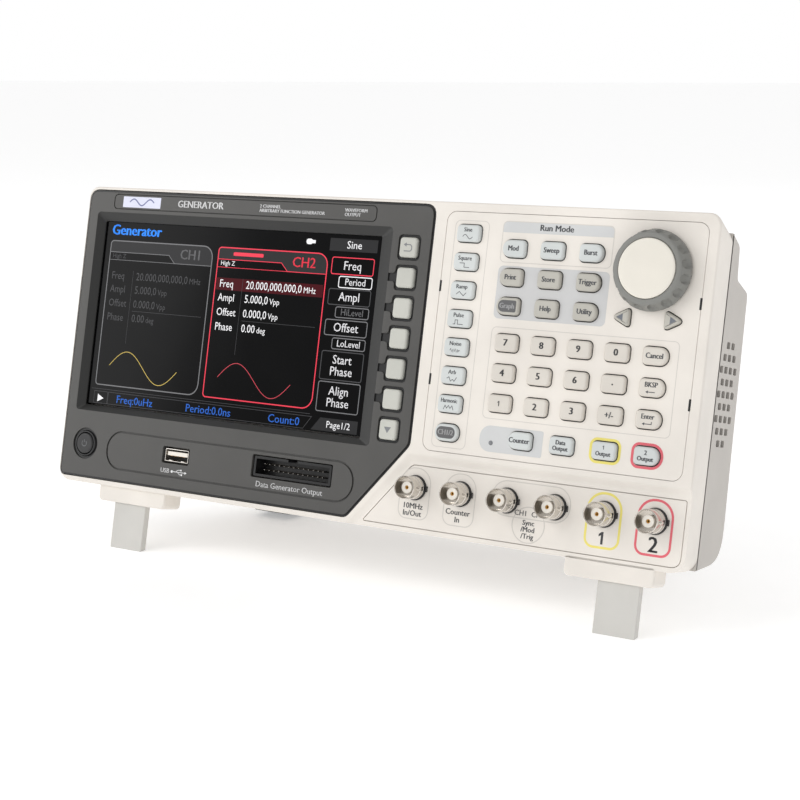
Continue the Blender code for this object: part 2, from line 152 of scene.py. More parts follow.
# %% Camera, floor and light
scene = bpy.context.scene
camera_data = bpy.data.cameras.new("camera")
camera_data.sensor_width = 36.0
camera_data.lens = 78.98
camera = bpy.data.objects.new("camera", camera_data)
camera.location = (0.3985, -0.6640, 0.2142)
camera.rotation_euler = (math.radians(79.48), 0.0, math.radians(31.34))
scene.collection.objects.link(camera)
scene.camera = camera
scene.view_settings.view_transform = "Standard"


def area_light(name, place, target, width, height, watts, colour=(1.0, 1.0, 1.0)):
    """A soft light at a place, turned towards a target."""
    data = bpy.data.lights.new(name, "AREA")
    data.shape = "RECTANGLE"
    data.size = width
    data.size_y = height
    data.energy = watts
    data.color = colour
    light = bpy.data.objects.new(name, data)
    light.location = place
    aim = Vector(target) - Vector(place)
    light.rotation_euler = aim.to_track_quat("-Z", "Y").to_euler()
    scene.collection.objects.link(light)


middle = (cad_low + cad_high) / 2
area_light("front_left_light", (-0.9, -1.8, 1.8), middle, 1.0, 1.0, 8.0, (1.0, 0.985, 0.965))
area_light("tall_side_light", (-1.86, -1.39, 1.05), middle, 1.2, 2.0, 13.0)
area_light("back_fill", (0.6, 1.8, 1.2), middle, 1.2, 1.2, 5.0)
world = bpy.data.worlds.new("studio")
world.use_nodes = True
sky_tree = world.node_tree
seen = add_node(sky_tree, "ShaderNodeLightPath")
level = add_node(sky_tree, "ShaderNodeMapRange", Value=seen.outputs["Is Camera Ray"],
                 To_Min=0.66, To_Max=1.0)
feed(sky_tree, sky_tree.nodes["Background"], Strength=level.outputs["Result"],
     Color=(1.0, 1.0, 1.0, 1.0))
scene.world = world

# %% [markdown]
# ## Finishes
#
# Moulded plastic is never one flat colour. It has a fine spark-eroded grain, a slight
# cloudiness, and a gloss that changes from place to place. One function makes that finish
# from two noises on Object coordinates: the coarse noise clouds the colour and the gloss,
# and the fine one raises the grain. The same function makes metal, with a stronger pull on
# the gloss, because handled metal shows it most.


# %% Finishes: the maker
def tint(red, green, blue):
    """A paint-chart colour from 0 to 255, as the linear colour that a shader takes."""
    return [((c / 255 + 0.055) / 1.055) ** 2.4 if c > 10 else c / 3295 for c in (red, green, blue)]


def finish(name, colour, gloss=0.45, grain=0.4, grain_size=0.35, clouds=0.05, metal=0.0, glow=0.0):
    """A procedural finish; gloss is the roughness and grain_size is in millimetres."""
    made = bpy.data.materials.new(name)
    made.use_nodes = True
    tree = made.node_tree
    shader = tree.nodes["Principled BSDF"]
    place = add_node(tree, "ShaderNodeTexCoord")
    turned = add_node(tree, "ShaderNodeMapping", Vector=place.outputs["Object"],
                      Rotation=(TILT, 0.0, 0.0))
    coarse = add_node(tree, "ShaderNodeTexNoise", Vector=turned.outputs["Vector"], Scale=38.0,
                      Detail=4.0)
    colours = add_node(tree, "ShaderNodeValToRGB", Fac=coarse.outputs["Fac"])
    for stop, position, share in zip(colours.color_ramp.elements, (0.3, 0.7),
                                     (1.0 - clouds, 1.0 + clouds)):
        stop.position = position
        stop.color = [min(1.0, c * share) for c in colour] + [1.0]
    polish = add_node(tree, "ShaderNodeMapRange", Value=coarse.outputs["Fac"],
                      To_Min=max(0.02, gloss - 0.06), To_Max=gloss + 0.06)
    feed(tree, shader, Base_Color=colours.outputs["Color"], Roughness=polish.outputs["Result"],
         Metallic=metal)
    if grain:
        fine = add_node(tree, "ShaderNodeTexNoise", Vector=turned.outputs["Vector"],
                        Scale=1.0 / (grain_size * MM), Detail=3.0)
        bump = add_node(tree, "ShaderNodeBump", Height=fine.outputs["Fac"], Strength=grain,
                        Distance=0.04 * MM)
        feed(tree, shader, Normal=bump.outputs["Normal"])
    if glow:
        feed(tree, shader, Emission_Color=colours.outputs["Color"], Emission_Strength=glow)
    return made


def print_ink(name, red, green, blue):
    """A printed ink: matt, with hardly any grain."""
    return finish(name, tint(red, green, blue), 0.5, grain=0.2)


# %% Finishes: plastics, metals and inks
CREAM = finish("cream_case", tint(236, 230, 222), 0.42, grain=0.35)
STONE = finish("stone_housing", tint(198, 193, 187), 0.5, grain=0.6, grain_size=0.5)
BEZEL = finish("charcoal_bezel", tint(76, 75, 73), 0.4, grain=0.45, clouds=0.08)
RECESS = finish("black_recess", tint(34, 34, 33), 0.35, grain=0.3)
SATIN_BLACK = finish("satin_black", tint(24, 24, 25), 0.32, grain=0.3)
COOL_KEY = finish("cool_grey_rubber", tint(210, 214, 213), 0.5, grain=0.5)
WARM_KEY = finish("warm_grey_rubber", tint(190, 187, 178), 0.5, grain=0.5)
SAND_KEY = finish("sand_rubber", tint(218, 212, 203), 0.5, grain=0.5)
SOFT_KEY = finish("soft_key_rubber", tint(198, 198, 190), 0.48, grain=0.4)
DARK_KEY = finish("dark_lens", tint(100, 100, 101), 0.3, grain=0.2)
BUTTON = finish("power_button_rubber", tint(42, 42, 43), 0.45, grain=0.4)
GRIP = finish("knob_rubber", tint(132, 132, 128), 0.5, grain=0.6, grain_size=0.3)
CAP = finish("knob_cap_plastic", tint(234, 229, 218), 0.4, grain=0.3)
LEG = finish("leg_plastic", tint(206, 204, 199), 0.5, grain=0.5)
NICKEL = finish("nickel_plate", tint(224, 219, 212), 0.16, grain=0.25, metal=1.0)
GOLD = finish("gold_plate", tint(214, 160, 84), 0.22, grain=0.2, metal=1.0)
INSULATOR = finish("white_insulator", tint(244, 238, 228), 0.4, grain=0.2)
STEEL = finish("zinc_steel", tint(176, 178, 180), 0.3, grain=0.4, metal=1.0)
SOLDER_MASK = finish("green_circuit_board", tint(24, 92, 52), 0.35, grain=0.7, clouds=0.2)
RUBBER = finish("foot_rubber", tint(52, 52, 52), 0.7, grain=0.8)
COOL_BAND = print_ink("cool_grey_ink", 209, 210, 210)
MIST_BAND = print_ink("mist_grey_ink", 207, 207, 207)
LINE_INK = print_ink("line_ink", 214, 209, 202)
TEXT_INK = print_ink("text_ink", 74, 76, 80)
DEEP_INK = print_ink("deep_text_ink", 58, 58, 60)
GREY_INK = print_ink("grey_ink", 128, 130, 133)
LENS_INK = print_ink("lens_ink", 160, 160, 161)
WHITE_INK = print_ink("white_ink", 235, 235, 236)
LILAC_INK = print_ink("lilac_ink", 224, 226, 244)
SLATE_INK = print_ink("slate_ink", 120, 126, 168)
YELLOW_INK = print_ink("yellow_ink", 240, 226, 120)
SLATE_GREY = print_ink("slate_grey_ink", 112, 116, 124)
RED_INK = print_ink("red_ink", 228, 104, 116)
print(f"{len(bpy.data.materials)} finishes so far")

# %% [markdown]
# ## Shapes
#
# Nearly every part here is an outline with some thickness: a key, a panel, a bezel, a leg.
# Two ways of thickening cover them. `block` stacks copies of one outline, the first ones
# drawn in a little, which gives a solid with a rounded front edge. `plate` uses a filled
# 2D curve: it takes holes as well, and its bevel rounds every edge of every hole.


# %% Shapes: outlines
def rounded(x0, x1, z0, z1, radii, steps=6):
    """Rounded rectangle, anticlockwise; radii run from bottom left, or are one number."""
    if not isinstance(radii, (list, tuple)):
        radii = [radii] * 4
    points = []
    for (cx, cz, start), r in zip([(x0, z0, 180), (x1, z0, 270), (x1, z1, 0), (x0, z1, 90)], radii):
        mx = cx + (r if cx == x0 else -r)
        mz = cz + (r if cz == z0 else -r)
        for step in range(steps + 1):
            a = math.radians(start + 90.0 * step / steps)
            points.append((mx + r * math.cos(a), mz + r * math.sin(a)))
    return points


def circle(cx, cz, r, sides=32):
    angles = [2 * math.pi * i / sides for i in range(sides)]
    return [(cx + r * math.cos(a), cz + r * math.sin(a)) for a in angles]


def grown(outline, by):
    """The outline moved outwards by a distance, or inwards if the distance is negative."""
    points = [Vector(p) for p in outline]
    after = points[1:] + points[:1]
    turning = sum(a.x * b.y - b.x * a.y for a, b in zip(points, after))
    side = by if turning > 0 else -by
    shifted = []
    for i, p in enumerate(points):
        arriving = (p - points[i - 1]).normalized()
        leaving = (after[i] - p).normalized()
        out = Vector((arriving.y + leaving.y, -arriving.x - leaving.x))
        p = p + out * (2 * side / out.length_squared)
        shifted.append((p.x, p.y))
    return shifted


def smooth_corners(points, radii, steps=5):
    """A polygon whose corners are replaced by curves that start a given distance away."""
    result = []
    for i, corner_point in enumerate(points):
        here = Vector(corner_point)
        before = Vector(points[i - 1]) - here
        after = Vector(points[(i + 1) % len(points)]) - here
        start = here + before.normalized() * radii[i]
        end = here + after.normalized() * radii[i]
        for step in range(steps + 1):
            t = step / steps
            p = start * (1 - t) ** 2 + here * 2 * t * (1 - t) + end * t * t
            result.append((p.x, p.y))
    return result


# %% Shapes: solids
def new_mesh(name, bm):
    mesh = bpy.data.meshes.new(name)
    bm.to_mesh(mesh)
    bm.free()
    return mesh


def loft(rings, loop=False):
    """A closed mesh through rings of points; a loop joins the last ring to the first."""
    bm = bmesh.new()
    loops = [[bm.verts.new(point) for point in ring] for ring in rings]
    pairs = list(zip(loops, loops[1:]))
    if loop:
        pairs.append((loops[-1], loops[0]))
    for low, high in pairs:
        for i in range(len(low)):
            j = (i + 1) % len(low)
            bm.faces.new((low[i], low[j], high[j], high[i]))
    if not loop:
        bm.faces.new(loops[0])
        bm.faces.new(loops[-1])
    bmesh.ops.recalc_face_normals(bm, faces=bm.faces)
    return new_mesh("loft", bm)


def edge_steps(edge, steps=4):
    """How far in, and how far back, each step of a quarter-round edge lies."""
    turns = [math.pi / 2 * i / steps for i in range(steps + 1)]
    return [(edge * (1 - math.sin(a)), edge * (1 - math.cos(a))) for a in turns]


def block(outline, front, back, edge=0.0, back_edge=0.0):
    """An outline in x and z, thickened from front to back, with rounded edges."""
    stack = [(inset, front + deep) for inset, deep in edge_steps(edge)] if edge else [(0.0, front)]
    if back_edge:
        stack += [(inset, back - deep) for inset, deep in reversed(edge_steps(back_edge))]
    else:
        stack.append((0.0, back))
    rings = [[(x, y, z) for x, z in grown(outline, -inset)] for inset, y in stack]
    return loft(rings)


def lathe(profile, cx, cz, sides=40, loop=False):
    """A profile of (radius, y) turned about an axis that runs into the case."""
    return loft([[(x, y, z) for x, z in circle(cx, cz, r, sides)] for r, y in profile], loop)


def evaluated_mesh(obj):
    """The object's mesh after its modifiers, as plain data; the object itself is removed."""
    scene.collection.objects.link(obj)
    graph = bpy.context.evaluated_depsgraph_get()
    mesh = bpy.data.meshes.new_from_object(obj.evaluated_get(graph))
    bpy.data.objects.remove(obj, do_unlink=True)
    return mesh


STAND_UP = Matrix.Rotation(math.radians(90), 4, "X")


def plate(outlines, front, back, edge):
    """A plate with holes: the first outline is its rim and the others are holes or islands."""
    curve = bpy.data.curves.new("plate", "CURVE")
    curve.dimensions = "2D"
    curve.fill_mode = "BOTH"
    for outline in outlines:
        spline = curve.splines.new("POLY")
        spline.points.add(len(outline) - 1)
        for point, (x, z) in zip(spline.points, outline):
            point.co = (x, z, 0.0, 1.0)
        spline.use_cyclic_u = True
    if back > front:
        curve.extrude = (back - front) / 2 - edge
        curve.bevel_depth = edge
        curve.bevel_resolution = 2
        curve.offset = -edge
    mesh = evaluated_mesh(bpy.data.objects.new("plate", curve))
    mesh.transform(Matrix.Translation((0.0, (front + back) / 2, 0.0)) @ STAND_UP)
    bm = bmesh.new()
    bm.from_mesh(mesh)
    bmesh.ops.remove_doubles(bm, verts=bm.verts, dist=1e-4)
    if back > front:
        bmesh.ops.recalc_face_normals(bm, faces=bm.faces)
    bpy.data.meshes.remove(mesh)
    return new_mesh("plate", bm)


def ink(outlines, y):
    """A flat printed area at depth y, facing the front."""
    return plate(outlines, y, y, 0.0)


def ring_ink(outline, width, y):
    """A printed line that follows the inside of an outline."""
    return ink([outline, grown(outline, -width)], y)


def stroke(points, width, y, closed=False):
    """A flat line of even width along points in x and z."""
    bm = bmesh.new()
    count = len(points)
    sides = []
    for i, p in enumerate(points):
        before = Vector(points[i - 1]) if i or closed else None
        after = Vector(points[(i + 1) % count]) if i < count - 1 or closed else None
        here = Vector(p)
        arriving = (here - before).normalized() if before else (after - here).normalized()
        leaving = (after - here).normalized() if after else arriving
        across = Vector((-arriving.y - leaving.y, arriving.x + leaving.x))
        across *= width / max(across.length_squared, 0.8)
        sides.append([bm.verts.new((q.x, y, q.y)) for q in (here + across, here - across)])
    joints = list(zip(sides, sides[1:] + (sides[:1] if closed else [])))
    for (a, b), (c, d) in joints:
        bm.faces.new((a, b, d, c))
    for face in bm.faces:
        face.normal_update()
        if face.normal.y > 0:
            face.normal_flip()
    return new_mesh("stroke", bm)


CAP_SHARE = 0.53


def words(text, x, z, height, y, align="CENTER", bold=0.0, narrow=1.0):
    """Flat lettering whose capitals have the given height, centred on z."""
    curve = bpy.data.curves.new("words", "FONT")
    curve.body = text
    curve.size = height / CAP_SHARE
    curve.align_x = align
    curve.align_y = "CENTER"
    curve.space_line = 0.92
    curve.resolution_u = 2
    mesh = evaluated_mesh(bpy.data.objects.new("words", curve))
    squeeze = Matrix.Diagonal((narrow, 1.0, 1.0, 1.0))
    letters = bmesh.new()
    for shift in ((-bold, bold) if bold else (0.0,)):
        strokes = mesh.copy()
        strokes.transform(Matrix.Translation((x + shift, y, z)) @ STAND_UP @ squeeze)
        letters.from_mesh(strokes)
    return new_mesh("words", letters)


def figure_one(x, z, height, y, thick=0.2):
    """The figure 1 with its flag, which the plain lettering draws as a bare stroke."""
    half, w = height / 2, height * thick / 2
    rim = [(x - w, z - half), (x + w, z - half), (x + w, z + half), (x - w * 0.6, z + half),
           (x - w - height * 0.2, z + half * 0.62), (x - w - height * 0.2, z + half * 0.22),
           (x - w, z + half * 0.46)]
    return ink([rim], y)


def joined(name, parts):
    """One mesh from (shape, finish) pairs, in which each shape keeps its own finish."""
    mesh = bpy.data.meshes.new(name)
    whole = bmesh.new()
    order = []
    for shape, look in parts:
        if look not in order:
            order.append(look)
            mesh.materials.append(look)
        start = len(whole.faces)
        whole.from_mesh(shape)
        whole.faces.ensure_lookup_table()
        for face in whole.faces[start:]:
            face.material_index = order.index(look)
        bpy.data.meshes.remove(shape)
    whole.to_mesh(mesh)
    whole.free()
    return mesh


SHARP_FROM = math.radians(38)


def piece(name, parts, body, stands_for=()):
    """Lean a finished mesh into place, shade it, and hang it on its CAD body."""
    mesh = joined(name, parts)
    mesh.transform(to_row)
    mesh.shade_smooth()
    mesh.set_sharp_from_angle(angle=SHARP_FROM)
    obj = bpy.data.objects.new(name, mesh)
    scene.collection.objects.link(obj)
    even = obj.modifiers.new("even_normals", "WEIGHTED_NORMAL")
    even.keep_sharp = True
    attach(obj, body)
    if stands_for:
        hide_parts(*stands_for)
    return obj


def moved(shape, matrix):
    shape.transform(matrix)
    return shape


def carved(solid, *tools):
    """The solid with every tool cut out of it."""
    holder = bpy.data.objects.new("carved", solid)
    cutters = []
    for tool in tools:
        cutter = bpy.data.objects.new("tool", tool)
        scene.collection.objects.link(cutter)
        cut = holder.modifiers.new("cut", "BOOLEAN")
        cut.operation = "DIFFERENCE"
        cut.solver = "EXACT"
        cut.object = cutter
        cutters.append(cutter)
    mesh = evaluated_mesh(holder)
    mesh.materials.clear()
    for cutter in cutters:
        bpy.data.objects.remove(cutter, do_unlink=True)
    return mesh


# %% [markdown]
# ## The floor
#
# A plain pale sheet, far wider than the view. It isn't part of the instrument.

# %% Floor
FLOOR = finish("pale_floor", (0.94, 0.94, 0.94), 0.7, grain=0.0, clouds=0.01, glow=0.36)
floor_bm = bmesh.new()
bmesh.ops.create_grid(floor_bm, x_segments=4, y_segments=4, size=40.0)
floor = bpy.data.objects.new("floor", new_mesh("floor", floor_bm))
floor.data.materials.append(FLOOR)
scene.collection.objects.link(floor)

# %% [markdown]
# ## Repeats with Geometry Nodes
#
# Header pins, sockets, contacts, screws and vent holes all repeat one small shape at a
# fixed pitch. A node tree does that once for all of them: it makes a grid of points, puts
# the incoming shape on each, and gives the result its finish. The inputs have names, so
# each use reads like a parts list.


# %% Repeats: a grid of parts
def new_tree(name, inputs):
    """An empty modifier tree with a geometry input and output, and named inputs."""
    tree = bpy.data.node_groups.new(name, "GeometryNodeTree")
    tree.is_modifier = True
    sockets = tree.interface
    sockets.new_socket("Geometry", in_out="INPUT", socket_type="NodeSocketGeometry")
    for label, kind in inputs:
        sockets.new_socket(label, in_out="INPUT", socket_type=f"NodeSocket{kind}")
    sockets.new_socket("Geometry", in_out="OUTPUT", socket_type="NodeSocketGeometry")
    return tree


def add_math(tree, operation, first, second=None):
    """A Math node fed by sockets or plain numbers; returns its output."""
    node = tree.nodes.new("ShaderNodeMath")
    node.operation = operation
    for socket, value in zip(node.inputs, (first, second)):
        if isinstance(value, (int, float)):
            socket.default_value = value
        elif value is not None:
            tree.links.new(value, socket)
    return node.outputs[0]


def set_out(tree, inputs, column_pitch, row_pitch):
    """Grid points, as many as the tree's Columns and Rows say, at the pitches named."""
    points = add_node(tree, "GeometryNodeMeshGrid")
    for count, pitch, way in (("Columns", column_pitch, "X"), ("Rows", row_pitch, "Y")):
        tree.links.new(inputs.outputs[count], points.inputs[f"Vertices {way}"])
        gaps = add_math(tree, "SUBTRACT", inputs.outputs[count], 1.0)
        length = add_math(tree, "MULTIPLY", gaps, inputs.outputs[pitch])
        tree.links.new(length, points.inputs[f"Size {way}"])
    return points.outputs["Mesh"]


def end_tree(tree, inputs, geometry):
    """The ending that all trees share: real geometry, in the finish that was asked for."""
    real = add_node(tree, "GeometryNodeRealizeInstances", Geometry=geometry)
    paint = add_node(tree, "GeometryNodeSetMaterial", Geometry=real.outputs["Geometry"],
                     Material=inputs.outputs["Material"])
    add_node(tree, "NodeGroupOutput", Geometry=paint.outputs["Geometry"])


def grow(shape, tree, look, **values):
    """Run a tree on a shape. The values are its inputs, by name with _ for a space."""
    holder = bpy.data.objects.new(tree.name, shape)
    modifier = holder.modifiers.new(tree.name, "NODES")
    modifier.node_group = tree
    wanted = {label.replace("_", " "): value for label, value in values.items()}
    wanted["Material"] = look
    for item in tree.interface.items_tree:
        if item.in_out == "INPUT" and item.name in wanted:
            modifier[item.identifier] = wanted[item.name]
    return evaluated_mesh(holder)


grid_tree = new_tree("grid_of_parts", [("Columns", "Int"), ("Rows", "Int"),
                                       ("Column Pitch", "Float"), ("Row Pitch", "Float"),
                                       ("Centre", "Vector"), ("Material", "Material")])
inputs = add_node(grid_tree, "NodeGroupInput")
stand = add_node(grid_tree, "GeometryNodeTransform", Translation=inputs.outputs["Centre"],
                 Geometry=set_out(grid_tree, inputs, "Column Pitch", "Row Pitch"),
                 Rotation=(math.radians(90), 0.0, 0.0))
place = add_node(grid_tree, "GeometryNodeInstanceOnPoints", Points=stand.outputs["Geometry"],
                 Instance=inputs.outputs["Geometry"])
end_tree(grid_tree, inputs, place.outputs["Instances"])


def grid_of(shape, look, columns, rows, column_pitch, row_pitch, centre):
    """Copies of a shape on a grid that faces the front."""
    return grow(shape, grid_tree, look, Columns=columns, Rows=rows, Column_Pitch=column_pitch,
                Row_Pitch=row_pitch, Centre=centre)


# %% [markdown]
# ## Front frame
#
# The cream frame is one moulding: a front wall with a seat for the bezel and one for the
# key panel, four side walls whose top slopes down to the seam, and two blocks that hold the
# legs. The outside is a loft, so its rounded front edge is exact. The seats and the socket
# bay are cut out of it, and the bay's tool has an S-shaped flank, which leaves the soft
# step that the real one has.

# %% Front frame: sizes taken from the CAD
FRAME_D = 14.0
TOP_BACK_Z = 133.0
FRONT_WALL = 5.0
WALL = 2.5
GAP = 0.3
LEDGE = 2.0
panel_low, panel_high = face_box("key_panel")
bezel_low, bezel_high = face_box("screen_bezel")
BEZEL_CUT = ((bezel_high.x, 36.0), (4.2, bezel_low.z))
BAY_STEP = 1.5


def bezel_outline(corner_r=3.0):
    """The dark bezel's rim, with the slanted cut that leaves room for the sockets."""
    rim = [(bezel_low.x, bezel_low.z), BEZEL_CUT[1], BEZEL_CUT[0],
           (bezel_high.x, bezel_high.z), (bezel_low.x, bezel_high.z)]
    return smooth_corners(rim, [corner_r, 2.0, 2.0, corner_r + 2.0, corner_r + 2.0])


def panel_outline(grow_by=0.0):
    return grown(rounded(panel_low.x, panel_high.x, panel_low.z, panel_high.z, 4.0), grow_by)


plate_rim = smooth_corners([(11.9, 2.3), (154.6, 2.3), (154.6, 28.0), (33.3, 28.0)],
                           [1.2, 4.0, 0.8, 1.6])
bay_rim = [(-16.7, -32.0), (220.0, -32.0), (220.0, 28.0), (33.3, 28.0)]


def bay_tool():
    """The socket bay's cutter; its flank follows a smooth step from the face to the floor."""
    rings = [[(x, -2.0, z) for x, z in grown(bay_rim, 5.2)]]
    for i in range(9):
        t = i / 8
        eased = t * t * (3 - 2 * t)
        rim = grown(bay_rim, 5.2 - 4.0 * t)
        rings.append([(x, BAY_STEP * eased - 0.001 * (i == 0), z) for x, z in rim])
    return loft(rings)


def frame_shell():
    rings = []
    depths = [(inset, y, BODY_H) for inset, y in edge_steps(0.9)]
    depths += [(0.0, 1.5, BODY_H), (0.0, FRAME_D, TOP_BACK_Z)]
    for inset, y, top in depths:
        rim = grown(rounded(-HALF_W, HALF_W, 0.0, top, [6.5, 6.5, 5.0, 5.0], 8), -inset)
        rings.append([(x, y, z) for x, z in rim])
    return loft(rings)


# %% Front frame: build it
SOCKET_X0 = 35.7
SOCKET_PITCH = 21.39
SOCKET_Z = 18.8
SOCKETS = 6
socket_xs = [SOCKET_X0 + SOCKET_PITCH * i for i in range(SOCKETS)]
hollow = block(rounded(WALL - HALF_W, HALF_W - WALL, WALL, TOP_BACK_Z - WALL, 3.0),
               FRONT_WALL, FRAME_D + 2.0)
panel_hole = block(panel_outline(-LEDGE), -2.0, 8.0)
bezel_hole = block(grown(bezel_outline(), -LEDGE), -2.0, 8.0)
bezel_seat = block(grown(bezel_outline(), GAP), -3.0, bezel_high.y + GAP)
panel_seat = block(panel_outline(GAP), -3.0, panel_high.y + GAP)
plate_seat = block(grown(plate_rim, GAP), -3.0, BAY_STEP + 1.2)
socket_holes = [block(circle(x, SOCKET_Z, 5.4), -3.0, 8.0) for x in socket_xs]
shell = carved(frame_shell(), hollow, bay_tool(), bezel_seat, panel_seat, plate_seat,
               bezel_hole, panel_hole, *socket_holes)
parts = [(shell, CREAM)]
FOOT_Y = (1.5, 13.7)
FOOT_Z = -7.0
FOOT_W = 38.5
FOOT_CENTRES = {"left": -112.7, "right": 125.7}
PIN_END = 1.6
ACROSS = Matrix.Rotation(-math.pi / 2, 4, "Z")
for side, cx in FOOT_CENTRES.items():
    leg_low, leg_high = face_box(f"tilt_leg_{side}")
    half = (leg_high.x - leg_low.x) / 2 - PIN_END + GAP
    leg_x = (leg_low.x + leg_high.x) / 2
    rim = rounded(cx - FOOT_W / 2, cx + FOOT_W / 2, FOOT_Z, 1.0, [2.0, 2.0, 0.2, 0.2])
    pocket = [(leg_x - half, -20.0), (leg_x + half, -20.0), (leg_x + half, -1.2),
              (leg_x - half, -1.2)]
    pin_hole = lathe([(1.3, leg_x - half - 1.8), (1.3, leg_x + half + 1.8)], 0.0, 0.0, 16)
    pin_hole.transform(Matrix.Translation((0.0, 4.75, -3.5)) @ ACROSS)
    foot = block(rim, *FOOT_Y, edge=0.9, back_edge=0.9)
    parts.append((carved(foot, block(pocket, 2.7, 30.0), pin_hole), CREAM))
front_frame = piece("case_front_frame", parts, "case", ["front_frame"])
print("front frame:", len(front_frame.data.polygons), "faces")

# %% [markdown]
# ## Socket plate
#
# The six sockets sit on a separate plate in the bay, with a hairline gap round it. Its
# words and the coloured outlines round the two outputs are printed on it: flat shapes lying
# three hundredths of a millimetre proud, which is how a thick screen print looks.

# %% Socket plate
PRINT = 0.03
plate_y = BAY_STEP - PRINT
plate_holes = [circle(x, SOCKET_Z, 5.2) for x in socket_xs]
socket_plate = plate([plate_rim] + plate_holes, BAY_STEP, BAY_STEP + 1.1, 0.18)
parts = [(socket_plate, CREAM)]


def tag(cx, z0, z1, width, line, look, top_r):
    """A printed outline round one socket, with a hole where the socket comes through."""
    rim = rounded(cx - width / 2, cx + width / 2, z0, z1, [4.0, 4.0, top_r, top_r], 8)
    return (ring_ink(rim, line, plate_y), look)


parts += [tag(socket_xs[0], 5.6, 27.2, 14.6, 0.45, LINE_INK, 6.8),
          tag(socket_xs[1], 5.4, 27.2, 14.6, 0.45, LINE_INK, 6.8),
          tag(socket_xs[4], 5.2, 27.4, 15.2, 0.95, YELLOW_INK, 7.2),
          tag(socket_xs[5], 5.2, 27.4, 15.2, 0.95, RED_INK, 7.2)]
sync_x = (socket_xs[2] + socket_xs[3]) / 2
sync_rim = rounded(socket_xs[2] - 7.0, socket_xs[3] + 7.0, 12.4, 27.0, 6.8, 8)
parts += [(ring_ink(sync_rim, 0.45, plate_y), LINE_INK),
          (ring_ink(circle(sync_x, 10.2, 7.4, 48), 0.45, plate_y - 0.01), LINE_INK)]
word_y = plate_y - 0.02
parts += [(words(text, x, z, height, word_y, bold=bold), TEXT_INK) for text, x, z, height, bold in (
    ("10MHz\nIn/Out", socket_xs[0] - 0.3, 9.6, 1.75, 0.08),
    ("Counter\nIn", socket_xs[1] - 0.3, 9.6, 1.75, 0.08),
    ("CH1", sync_x - 3.8, 14.6, 1.6, 0.04),
    ("CH2", sync_x + 3.8, 14.6, 1.6, 0.04),
    ("Sync\n/Mod\n/Trig", sync_x, 8.3, 1.55, 0.08))]
parts += [(figure_one(socket_xs[4] + 0.2, 9.4, 4.9, word_y), DEEP_INK),
          (words("2", socket_xs[5] + 0.2, 9.4, 4.6, word_y, bold=0.2), DEEP_INK)]
piece("socket_plate", parts, "case")
print("socket plate with", len(parts) - 1, "printed shapes")

# %% [markdown]
# ## Coaxial sockets
#
# Each socket is a nickel barrel with a rolled rim, a white insulator and a gold contact.
# Two bayonet lugs stand out at its sides, and a black keyed washer sits against the plate.
# Every part is turned on a lathe about its own axis, and the grid tree sets out all six.

# %% Coaxial sockets
socket_centre = ((socket_xs[0] + socket_xs[-1]) / 2, 0.0, SOCKET_Z)
barrel_profile = [(4.3, -1.0), (4.3, -7.6), (4.38, -7.85), (4.55, -8.0), (4.72, -7.85),
                  (4.8, -7.6), (4.8, -5.9), (4.62, -5.7), (4.62, -2.6), (4.8, -2.4),
                  (4.8, -0.6), (4.55, -0.4), (4.55, 8.6), (2.3, 8.6), (2.3, -1.0)]
lug_profile = [(0.01, -5.55), (0.6, -5.6), (0.62, -5.2), (0.95, -5.2), (0.95, -4.4)]
insulator_profile = [(0.85, -4.6), (0.85, -5.5), (0.95, -5.6), (2.35, -5.6), (2.5, -5.45),
                     (2.5, 2.0), (0.85, 2.0)]
contact_profile = [(0.36, -3.4), (0.36, -5.2), (0.45, -5.3), (0.7, -5.3), (0.8, -5.2),
                   (0.8, 2.0), (0.36, 2.0)]
nut_profile = [(4.5, -0.2), (4.75, -0.2), (4.85, -0.1), (4.85, 0.75), (4.5, 0.75)]


def lug(side):
    """A bayonet lug: a short stud that stands out of the barrel's side."""
    sideways = Matrix.Rotation(side * math.pi / 2, 4, "Z")
    return moved(lathe(lug_profile, 0.0, 0.0, 16), Matrix.Translation((0.0, -4.1, 0.0)) @ sideways)


socket_row = dict(columns=SOCKETS, rows=1, column_pitch=SOCKET_PITCH, row_pitch=0.0,
                  centre=socket_centre)
nickel_parts = joined("nickel", [(lathe(barrel_profile, 0.0, 0.0, 40, loop=True), NICKEL),
                                 (lug(1), NICKEL), (lug(-1), NICKEL)])
washer_rim = smooth_corners([(4.6, -1.2), (5.9, -1.2), (5.9, 1.2), (4.6, 1.2)], [0.2] * 4, 2)
washer = joined("washer", [(plate([circle(0.0, 0.0, 5.15, 40), circle(0.0, 0.0, 4.6, 40)], 0.6,
                                  BAY_STEP - 0.02, 0.12), SATIN_BLACK),
                           (block(washer_rim, 0.2, BAY_STEP - 0.02, 0.1), SATIN_BLACK)])
parts = [(grid_of(nickel_parts, NICKEL, **socket_row), NICKEL),
         (grid_of(lathe(nut_profile, 0.0, 0.0, 40, loop=True), NICKEL, **socket_row), NICKEL),
         (grid_of(lathe(insulator_profile, 0.0, 0.0, 32, loop=True), INSULATOR, **socket_row),
          INSULATOR),
         (grid_of(lathe(contact_profile, 0.0, 0.0, 20, loop=True), GOLD, **socket_row), GOLD),
         (grid_of(washer, SATIN_BLACK, **socket_row), SATIN_BLACK)]
sockets = piece("coaxial_sockets", parts, "case")
print("six sockets:", len(sockets.data.polygons), "faces")

# %% [markdown]
# ## Dark bezel
#
# The bezel is two plates on top of each other. The upper one is thin, and its openings are
# larger: the wells of the soft keys with their little channels to the screen, the groove
# round the ports and the recess of the name strip. The lower one has only the holes that
# go right through. Together they read as one moulding with shallow sunk detail.

